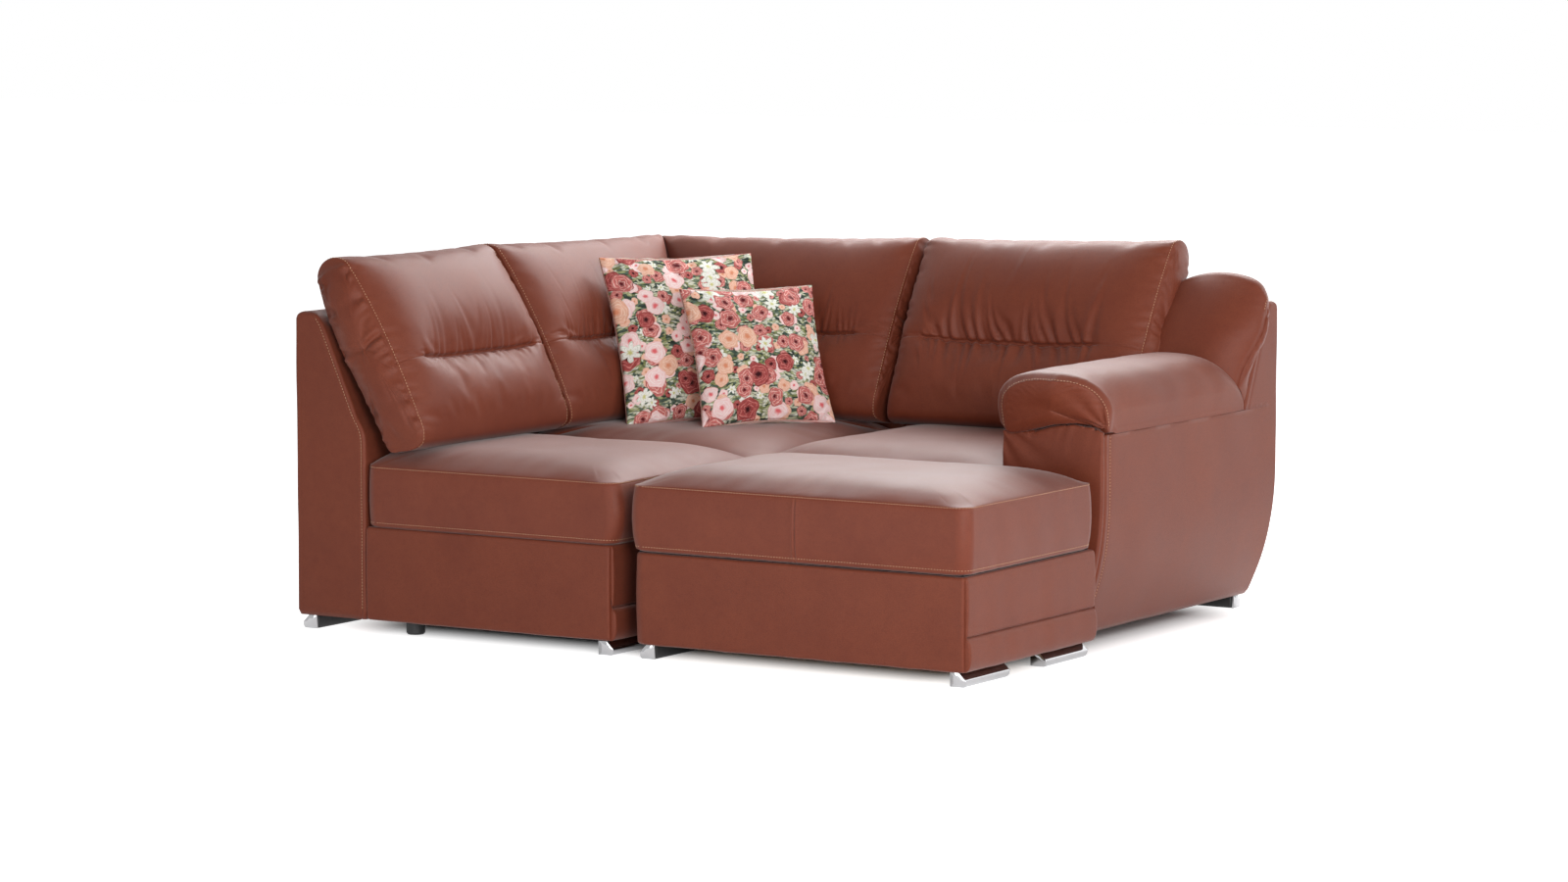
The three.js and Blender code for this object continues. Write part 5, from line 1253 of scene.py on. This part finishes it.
def arm_front():
    """The padded front of the arm. Its top follows the nose's lower edge, its face swells by one
    less the fourth powers of the shares across and up, and folds hang from its upper left."""
    z = ticks(GROUND + 0.0003, ARM_TOP, 0.006)
    foot = end_round(z, GROUND, 2.0, 0.006)
    grid, starts = stacked(ARM_INNER + foot, arm_outline(z) - foot, 0.649, 0.6617, z, 0.0058, cell=0.007)
    share = (grid[..., 2] - GROUND) / (ARM_TOP - GROUND)
    rise = np.maximum(0.0, np.interp(grid[..., 0], NOSE_EDGE[:, 0], NOSE_EDGE[:, 1]) - 0.002)
    grid[..., 2] += rise * smooth((share - 0.6) / 0.4)
    across = (grid[..., 0] - ARM_INNER) / (ARM_OUTER - ARM_INNER)
    on_face = smooth((0.655 - grid[..., 1]) / 0.005)
    dome = (1 - np.abs(2 * across - 1) ** 4) * (1 - np.abs(2 * np.clip(share, 0, 1) - 1) ** 6)
    left, down = grid[..., 0] - ARM_INNER, ARM_TOP + 0.03 - grid[..., 2]
    ray = np.arctan2(down, left + 0.03)
    far = np.hypot(left, down)
    drape = folded(np.cos(ray * 15 + 0.8)) * np.exp(-((far - 0.03) / 0.11) ** 2)
    top_pull = folded(ripples(grid[..., 0] + 0.3 * down, (0.027, 0.038, 0.06), 125)) * np.exp(-down / 0.035)
    grid[..., 1] -= on_face * (0.0085 * np.maximum(0.0, dome) + 0.0034 * drape + 0.0030 * top_pull)
    grid = uneven(grid, 0.0010, 0.14, 122)
    skin("armrest_front_cover", grid, HIDE, "sofa", ["armrest_front_panel"])


def ear():
    """The leaning ear behind the pad; where it would enter the pad it rests on it."""
    def rests(grid):
        top = pad_top_at(grid[..., 0], grid[..., 1]) + 0.0006
        return np.stack([grid[..., 0], grid[..., 1], np.maximum(grid[..., 2], top)], -1)
    back_cushion("armrest_ear_cover", "armrest_ear", (1, 0, 0), (0, -1, 0), EAR_WIDTH, 0.001, 0.012,
                 None, "arm", 131, flare=(0.037, 0.15, 0.6), tuck=0.026, clear=rests, ends=(False, True),
                 sewn=(False, "top"), puckers=(0.75, 1.2, 1.0, 0.0066, 0.0026), pad=EAR_PAD, cap=0.007, slack=0.004, soften=4)


# Feet

def bar_foot(node, body):
    """A chrome bar with a curved outer face over a black block; the far lower corner is rounded."""
    low, high = extent(node)
    along_x = (high - low)[0] > (high - low)[1]
    length = (high - low).max()
    top = high[2]
    outer = {"foot_end_back": -1, "foot_corner_rear": -1, "foot_ottoman_front_left": -1, "foot_ottoman_rear_left": -1}.get(node, 1)
    section = np.concatenate([
        curve([(0.010, 0.0), (0.036, 0.0)], 8)[:-1],
        bezier((0.036, 0.0), (0.0445, 0.0), (0.0440, 0.42 * top), 10),
        curve([(0.0436, 0.47 * top), (0.0258, top - 0.0012)], 8),
        curve([(0.0245, top), (0.010, top)], 8),
        curve([(0.010, top - 0.003), (0.010, 0.003)], 6),
    ])
    ends = np.array([0.0, 0.0004, 0.0012, 0.0025])
    places = np.concatenate([ends, [0.0060, 0.0064], np.linspace(0.008, length - 0.022, 12), length - 0.018 + 0.018 * np.sin(np.linspace(0, np.pi / 2, 9))[:-1], [length - 0.0004, length]])
    rise = 0.018 - np.sqrt(np.maximum(0.0, 0.018**2 - np.maximum(0.0, places - (length - 0.018))**2))
    tight = np.interp(places, [0, 0.0004, 0.0012, 0.0025, length - 0.0025, length], [0.90, 0.96, 0.99, 1, 1, 0.94])
    middle = section.mean(0)
    shape = middle + (section[None] - middle) * tight[:, None, None]
    height = np.maximum(shape[..., 1], rise[:, None] * (shape[..., 1] < top / 2) + shape[..., 1] * (shape[..., 1] >= top / 2))
    height = np.clip(np.maximum(height, rise[:, None]), 0.0, top)
    def place(out, along, up):
        if along_x:
            return np.stack(np.broadcast_arrays(low[0] + length - along, low[1] + out, up), -1)
        x = low[0] + out if outer > 0 else high[0] - out
        return np.stack(np.broadcast_arrays(x, low[1] + along, up), -1)
    # The front end is a full plate; behind it only the bar's outer part is metal
    plate = (places < 0.0062)[:, None] & (shape[..., 0] < 0.013)
    grid = place(np.where(plate, 0.0015, shape[..., 0]), places[:, None], height)
    piece = skin(node + "_chrome", grid, CHROME, body, [node])
    block_z = np.array([0.001, 0.002, 0.006, 0.016, 0.026, top - 0.0015, top])
    pull = np.array([0.002, 0.0008, 0, 0, 0, 0, 0.001])
    rings, _ = stacked(0.0 + pull, 0.0238 - pull, 0.0068 + pull, length - 0.020 - pull, block_z, 0.004, cell=0.03)
    block = place(rings[..., 0], rings[..., 1], rings[..., 2])
    skin(node + "_block", block, BLACK, body)
    return piece


def feet():
    for node in ("foot_end_back", "foot_end_front", "foot_corner_rear", "foot_arm_rear"):
        bar_foot(node, "sofa")
    for corner in ("front_right", "rear_right", "front_left", "rear_left"):
        bar_foot("foot_ottoman_" + corner, "ottoman")


# Scatter cushions

def bloom_group():
    """Blooms laid on the cells of a Voronoi pattern. Each cell's random colour picks its kind, size
    and turn; spiral petals come from the fraction of radius times a count plus angle."""
    tree, given, out = group_of(
        "Blooms", [("Vector", "v", None), ("Scale", "f", 14.0), ("Size", "f", 0.45), ("Kind", "f", 0.0)],
        [("Colour", "c"), ("Mask", "f"), ("Rim", "f")])
    math = lambda operation, first, second=None: sums(tree, operation, first, second)
    def vector(operation, first, second):
        node = tree.nodes.new("ShaderNodeVectorMath")
        node.operation = operation
        tree.links.new(first, node.inputs[0])
        if isinstance(second, bpy.types.NodeSocket):
            tree.links.new(second, node.inputs["Scale" if operation == "SCALE" else 1])
        else:
            node.inputs["Scale" if operation == "SCALE" else 1].default_value = second
        return node.outputs["Value" if operation == "LENGTH" else "Vector"]
    place = vector("SCALE", given.outputs["Vector"], given.outputs["Scale"])
    waver = texture(tree, "ShaderNodeTexNoise", place, Scale=2.6, Detail=2.0)
    shake = vector("SUBTRACT", waver.outputs["Color"], (0.5, 0.5, 0.5))
    cells = texture(tree, "ShaderNodeTexVoronoi", place, Scale=1.0, Randomness=0.72)
    cells.voronoi_dimensions = "2D"
    away = vector("SUBTRACT", place, cells.outputs["Position"])
    away = vector("ADD", away, vector("SCALE", shake, 0.22))
    axes = tree.nodes.new("ShaderNodeSeparateXYZ")
    tree.links.new(away, axes.inputs[0])
    pick = tree.nodes.new("ShaderNodeSeparateColor")
    tree.links.new(cells.outputs["Color"], pick.inputs[0])
    kind = math("FRACT", math("ADD", pick.outputs[0], given.outputs["Kind"]))
    turn = math("MULTIPLY", pick.outputs[1], 6.283)
    radius = math("SQRT", math("ADD", math("MULTIPLY", axes.outputs[0], axes.outputs[0]),
                               math("MULTIPLY", axes.outputs[1], axes.outputs[1])))
    angle = math("ADD", math("ARCTAN2", axes.outputs[1], axes.outputs[0]), turn)
    # White stars have deep notches, the other kinds a wavy outline
    star = math("GREATER_THAN", kind, 0.86)
    lobes = math("ABSOLUTE", math("COSINE", math("MULTIPLY", angle, 3.0)))
    notch = math("SUBTRACT", 1.0, math("MULTIPLY", math("MULTIPLY", star, 0.55), math("SUBTRACT", 1.0, lobes)))
    wave = math("MULTIPLY", math("COSINE", math("MULTIPLY", angle, 5.0)), 0.05)
    reach = math("MULTIPLY", given.outputs["Size"], math("MULTIPLY_ADD", pick.outputs[2], 0.3))
    reach.node.inputs[2].default_value = 0.85
    reach = math("MULTIPLY", reach, math("ADD", notch, wave))
    share = math("DIVIDE", radius, reach)
    mask = math("LESS_THAN", share, 1.0)
    count = math("MULTIPLY_ADD", math("LESS_THAN", kind, 0.42), -1.2)
    count.node.inputs[2].default_value = 5.4
    spiral = math("ADD", math("MULTIPLY", math("POWER", share, 0.8), count), math("DIVIDE", angle, 6.283))
    ring = math("FLOOR", spiral)
    scallop = math("ABSOLUTE", math("SINE", math("ADD", math("MULTIPLY", angle, 2.5), math("MULTIPLY", ring, 1.9))))
    petal = math("FRACT", math("ADD", spiral, math("MULTIPLY", scallop, 0.42)))
    def kinds(colours):
        node = tree.nodes.new("ShaderNodeValToRGB")
        node.color_ramp.interpolation = "CONSTANT"
        while len(node.color_ramp.elements) < len(colours):
            node.color_ramp.elements.new(0.5)
        for element, (position, colour) in zip(node.color_ramp.elements, colours):
            element.position = position
            element.color = srgb(*colour)
        tree.links.new(kind, node.inputs[0])
        return node.outputs[0]
    deep = kinds([(0.0, (120, 36, 42)), (0.34, (84, 20, 28)), (0.44, (232, 164, 160)), (0.68, (214, 136, 112)), (0.86, (150, 160, 120))])
    middle = kinds([(0.0, (206, 116, 110)), (0.34, (170, 78, 76)), (0.44, (247, 218, 216)), (0.68, (238, 190, 164)), (0.86, (242, 242, 234))])
    pale = kinds([(0.0, (248, 208, 198)), (0.34, (222, 138, 130)), (0.44, (254, 244, 242)), (0.68, (251, 224, 206)), (0.86, (253, 253, 250))])
    heart = kinds([(0.0, (92, 22, 30)), (0.34, (52, 10, 18)), (0.44, (226, 104, 108)), (0.68, (220, 142, 108)), (0.86, (206, 204, 130))])
    def eased(value, low, high):
        node = tree.nodes.new("ShaderNodeMapRange")
        node.interpolation_type = "SMOOTHSTEP"
        node.inputs["From Min"].default_value = low
        node.inputs["From Max"].default_value = high
        tree.links.new(value, node.inputs["Value"])
        return node.outputs["Result"]
    colour = blended(tree, eased(petal, -0.05, 0.26), deep, middle)
    fleck = texture(tree, "ShaderNodeTexNoise", place, Scale=9.0, Detail=3.0)
    rim = math("MULTIPLY", eased(petal, 0.50, 0.92), eased(fleck.outputs[0], 0.32, 0.60))
    colour = blended(tree, rim, colour, pale)
    colour = blended(tree, math("SUBTRACT", 1.0, eased(share, 0.10, 0.42)), colour, heart)
    shade = math("MULTIPLY", eased(share, 0.78, 1.02), 0.35)
    colour = blended(tree, shade, colour, deep)
    tree.links.new(colour, out.inputs["Colour"])
    tree.links.new(mask, out.inputs["Mask"])
    tree.links.new(petal, out.inputs["Rim"])
    return tree


BLOOMS = bloom_group()


def flower_print(name, offset):
    """Foliage of small leaves under two sizes of blooms, on the flat coordinates of the cover."""
    material = bpy.data.materials.new(name)
    tree = nodes_of(material)
    shader = tree.nodes["Principled BSDF"]
    flat = tree.nodes.new("ShaderNodeAttribute")
    flat.attribute_name = "print_place"
    axes = tree.nodes.new("ShaderNodeSeparateXYZ")
    tree.links.new(flat.outputs["Vector"], axes.inputs[0])
    shift = sums(tree, "MULTIPLY_ADD", axes.outputs[2], 0.9)
    shift.node.inputs[2].default_value = offset
    place = tree.nodes.new("ShaderNodeCombineXYZ")
    tree.links.new(sums(tree, "ADD", axes.outputs[0], shift), place.inputs[0])
    tree.links.new(axes.outputs[1], place.inputs[1])
    # Leaves: stretched, bent cells of greens over near-black gaps
    bent = texture(tree, "ShaderNodeTexNoise", place.outputs[0], Scale=22.0, Detail=2.0)
    twist = tree.nodes.new("ShaderNodeMapping")
    tree.links.new(place.outputs[0], twist.inputs["Vector"])
    twist.inputs["Rotation"].default_value = (0, 0, 0.7)
    twist.inputs["Scale"].default_value = (1.0, 2.1, 1.0)
    moved = tree.nodes.new("ShaderNodeVectorMath")
    moved.operation = "MULTIPLY_ADD"
    tree.links.new(bent.outputs["Color"], moved.inputs[0])
    moved.inputs[1].default_value = (0.05, 0.05, 0.0)
    tree.links.new(twist.outputs[0], moved.inputs[2])
    leaf = texture(tree, "ShaderNodeTexVoronoi", moved.outputs[0], Scale=95.0, Randomness=1.0)
    leaf.voronoi_dimensions = "2D"
    tone = tree.nodes.new("ShaderNodeSeparateColor")
    tree.links.new(leaf.outputs["Color"], tone.inputs[0])
    broad = texture(tree, "ShaderNodeTexNoise", place.outputs[0], Scale=16.0, Detail=2.0)
    mixed = sums(tree, "ADD", sums(tree, "MULTIPLY", tone.outputs[0], 0.55), sums(tree, "MULTIPLY", broad.outputs[0], 0.75))
    green = ramp(tree, sums(tree, "SUBTRACT", mixed, 0.15), [
        (0.12, srgb(30, 36, 33)), (0.28, srgb(66, 84, 74)), (0.38, srgb(112, 132, 116)), (0.46, srgb(142, 150, 88)),
        (0.55, srgb(196, 202, 152)), (0.68, srgb(238, 240, 222))])
    gap = sums(tree, "MULTIPLY", leaf.outputs["Distance"], 0.85, clamp=True)
    colour = blended(tree, gap, green, srgb(22, 26, 24))
    for scale, size, kind, along in ((26.0, 0.44, 0.50, 0.00), (16.5, 0.47, 0.62, 0.37), (12.4, 0.50, 0.06, 0.71), (11.0, 0.46, 0.36, 1.93)):
        layer = tree.nodes.new("ShaderNodeGroup")
        layer.node_tree = BLOOMS
        moved = tree.nodes.new("ShaderNodeVectorMath")
        tree.links.new(place.outputs[0], moved.inputs[0])
        moved.inputs[1].default_value = (along, along * 0.7, 0.0)
        tree.links.new(moved.outputs[0], layer.inputs["Vector"])
        layer.inputs["Scale"].default_value = scale
        layer.inputs["Size"].default_value = size
        layer.inputs["Kind"].default_value = kind
        colour = blended(tree, layer.outputs["Mask"], colour, layer.outputs["Colour"])
    tree.links.new(colour, shader.inputs["Base Color"])
    shader.inputs["Roughness"].default_value = 0.85
    shader.inputs["Specular IOR Level"].default_value = 0.2
    weave = texture(tree, "ShaderNodeTexNoise", place.outputs[0], Scale=1400.0, Detail=2.0)
    rise = tree.nodes.new("ShaderNodeBump")
    rise.inputs["Strength"].default_value = 0.25
    rise.inputs["Distance"].default_value = 0.0004
    tree.links.new(weave.outputs[0], rise.inputs["Height"])
    tree.links.new(rise.outputs[0], shader.inputs["Normal"])
    return material


def scatter_cushion(name, node, width, height, thickness, x, y, turn, lean, body, seed, look, rows=96):
    """Two crowned sheets that meet in a thin seam whose sides draw in between pulled-out corners.
    Thickness is a power of the product of one less the squares of the shares across and up."""
    half_round = -np.cos(np.pi * np.arange(rows + 1) / rows)
    v = half_round[:, None]
    u = np.concatenate([half_round, half_round[-2:0:-1]])[None]
    face = np.concatenate([-np.ones(rows + 1), np.ones(rows - 1)])[None]
    pinch = 0.015
    draw_u = 1 - pinch / (width / 2) * (1 - v**2)
    draw_v = 1 - pinch / (height / 2) * (1 - u**2)
    loft = np.maximum(0.0, (1 - u**2) * (1 - v**2)) ** 0.42
    half = 0.0022 + (thickness / 2 - 0.0022) * loft
    sx, sz = width / 2 * u * draw_u, height / 2 * (1 + v * draw_v)
    sy = face * half
    edge_u, edge_v = 1 - np.abs(u), 1 - np.abs(v)
    wave = ripples(sz, (0.055, 0.083, 0.12), seed) * np.exp(-edge_u * width / 0.10)
    wave = wave + ripples(sx, (0.052, 0.078, 0.11), seed + 1) * np.exp(-edge_v * height / 0.10)
    sy = sy + face * 0.0024 * wave * np.minimum(1, loft * 2)
    body_points = np.stack(np.broadcast_arrays(sx, sy, sz), -1)
    body_points = body_points + np.array([0, 1, 0]) * (face * 0.002 * mottle(body_points, 0.12, seed + 2))[..., None] * np.minimum(1, loft * 2)[..., None]
    seam = np.maximum(bell(edge_u * width / 2, 0.004), bell(edge_v * height / 2, 0.004))
    body_points = inflated(body_points, np.broadcast_to(seam, body_points.shape[:2]), 0.008, 0.03, pressure=3.0)
    c, s = np.cos(lean), np.sin(lean)
    px, py, pz = body_points[..., 0], body_points[..., 1], body_points[..., 2]
    py, pz = py * c + pz * s, pz * c - py * s
    c, s = np.cos(turn), np.sin(turn)
    grid = np.stack([px * c - py * s + x, px * s + py * c + y, pz], -1)
    low, high = extent(node)
    grid[..., 2] += low[2] - grid[..., 2].min()
    piece = skin(name, grid, look, body, [node])
    at = piece.data.attributes.new("print_place", "FLOAT_VECTOR", "POINT")
    flat = np.stack(np.broadcast_arrays(width / 2 * u, height / 2 * v, face), -1).reshape(-1, 3)
    at.data.foreach_set("vector", np.concatenate([flat, flat[:1] * 0, flat[-1:] * 0]).ravel())
    return piece


def scatter_cushions():
    scatter_cushion("scatter_pad_rear", "scatter_cushion_rear", 0.434, 0.465, 0.106, 0.555, 1.017,
                    np.radians(56), np.radians(24), "scatter_rear", 141, flower_print("Flower print, large cushion", 1.3))
    scatter_cushion("scatter_pad_front", "scatter_cushion_front", 0.378, 0.380, 0.104, 0.742, 1.038,
                    np.radians(56), np.radians(23), "scatter_front", 151, flower_print("Flower print, small cushion", 3.1))


# Make the pieces

end_shell()
corner_shell()
arm_shell()
base_boards()
ottoman_boards()
seats()
armrest_body()
armrest_pad()
ear()
back_cushions()
feet()
scatter_cushions()
for group, body in (("end", "sofa"), ("corner", "sofa"), ("arm", "sofa"), ("lid", "ottoman_lid")):
    sew(group, GOLD, body)

for name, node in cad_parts.items():
    if name.startswith("leg_"):
        node.data.materials[0] = BLACK
    elif name.endswith("_frame") or name in ("ottoman_floor", "ottoman_lid_board"):
        # The ottoman's lid board gets the black lining as painted shade: the black stands for the dark shadow in the
        # gap under the lid's cushion. The other frames and the ottoman's floor are pine.
        node.data.materials[0] = FELT if name == "ottoman_lid_board" else PINE
    elif name.endswith("_springs") or name.startswith("bolt_"):
        node.data.materials[0] = STEEL
    elif name.endswith("_lining"):
        node.data.materials[0] = FELT


# Floor, light and camera

def studio():
    floor = bpy.data.materials.new("White floor")
    tree = nodes_of(floor)
    shader = tree.nodes["Principled BSDF"]
    shader.inputs["Base Color"].default_value = (0.82, 0.82, 0.82, 1)
    shader.inputs["Roughness"].default_value = 0.9
    shader.inputs["Specular IOR Level"].default_value = 0.1
    path = tree.nodes.new("ShaderNodeLightPath")
    seen = sums(tree, "MAXIMUM", path.outputs["Is Camera Ray"], path.outputs["Is Glossy Ray"])
    seen = sums(tree, "MAXIMUM", seen, path.outputs["Is Transmission Ray"])
    glow = tree.nodes.new("ShaderNodeEmission")
    # White far away for the camera, with the object's shadow kept near it: distance from a rectangle
    apart = object_place(tree)
    for operation, second in (("ABSOLUTE", (0, 0, 0)), ("SUBTRACT", (0.74, 0.56, 0)), ("MAXIMUM", (0, 0, 0)), ("LENGTH", None)):
        node = tree.nodes.new("ShaderNodeVectorMath")
        node.operation = operation
        tree.links.new(apart, node.inputs[0])
        if second:
            node.inputs[1].default_value = second
        apart = node.outputs["Value" if operation == "LENGTH" else "Vector"]
    far = tree.nodes.new("ShaderNodeMapRange")
    far.interpolation_type = "SMOOTHSTEP"
    for name, value in (("From Min", 0.02), ("From Max", 0.27), ("To Min", 0.0), ("To Max", 1.0)):
        far.inputs[name].default_value = value
    tree.links.new(apart, far.inputs["Value"])
    lift = sums(tree, "MULTIPLY", seen, far.outputs["Result"])
    tree.links.new(lift, glow.inputs["Strength"])
    both = tree.nodes.new("ShaderNodeAddShader")
    tree.links.new(shader.outputs[0], both.inputs[0])
    tree.links.new(glow.outputs[0], both.inputs[1])
    tree.links.new(both.outputs[0], tree.nodes["Material Output"].inputs["Surface"])
    mesh = bpy.data.meshes.new("floor")
    reach = 30.0
    mesh.from_pydata([(-reach, -reach, 0), (reach, -reach, 0), (reach, reach, 0), (-reach, reach, 0)], [], [(0, 1, 2, 3)])
    mesh.materials.append(floor)
    plane = bpy.data.objects.new("floor", mesh)
    bpy.context.scene.collection.objects.link(plane)
    plane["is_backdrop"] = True

    world = bpy.data.worlds.new("Studio")
    bpy.context.scene.world = world
    world.use_nodes = True
    tree = world.node_tree
    sky = tree.nodes["Background"]
    path = tree.nodes.new("ShaderNodeLightPath")
    seen = sums(tree, "MAXIMUM", path.outputs["Is Camera Ray"], path.outputs["Is Glossy Ray"])
    seen = sums(tree, "MAXIMUM", seen, path.outputs["Is Transmission Ray"])
    strength = sums(tree, "MULTIPLY_ADD", seen, 0.82)
    strength.node.inputs[2].default_value = 0.18
    sky.inputs["Color"].default_value = (1, 1, 1, 1)
    tree.links.new(strength, sky.inputs["Strength"])

    def lamp(name, place, target, size, power):
        light = bpy.data.lights.new(name, "AREA")
        light.shape = "RECTANGLE"
        light.size, light.size_y = size
        light.energy = power
        made = bpy.data.objects.new(name, light)
        made.location = place
        made.rotation_euler = (Vector(target) - Vector(place)).to_track_quat("-Z", "Y").to_euler()
        bpy.context.scene.collection.objects.link(made)

    lamp("rear softbox", (-0.35, 1.9, 2.4), (0.35, -0.3, 0.45), (2.0, 1.2), 78)
    lamp("rear screen", (0.2, 4.6, 1.7), (0.0, 0.0, 0.6), (7.0, 3.0), 72)
    lamp("right softbox", (5.4, -0.6, 2.2), (0.2, 0.0, 0.4), (3.0, 2.4), 105)
    lamp("front softbox", (4.5, -4.6, 1.7), (0.0, 0.0, 0.4), (2.2, 1.8), 175)
    lamp("low front softbox", (0.0, -3.4, 0.5), (0.0, 0.0, 0.3), (2.0, 0.7), 18)

    lens = bpy.data.cameras.new("camera")
    lens.lens = 112.5
    lens.sensor_width = 36.0
    lens.clip_end = 100.0
    camera = bpy.data.objects.new("camera", lens)
    camera.location = (6.4255, -10.4835, 1.714)
    camera.rotation_euler = (np.radians(90 - 5.85), 0.0, np.radians(31.69))
    bpy.context.scene.collection.objects.link(camera)
    bpy.context.scene.camera = camera
    bpy.context.scene.view_settings.view_transform = "Standard"


studio()

{"cad": cad_box, "visual": [list(corner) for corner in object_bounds()]}
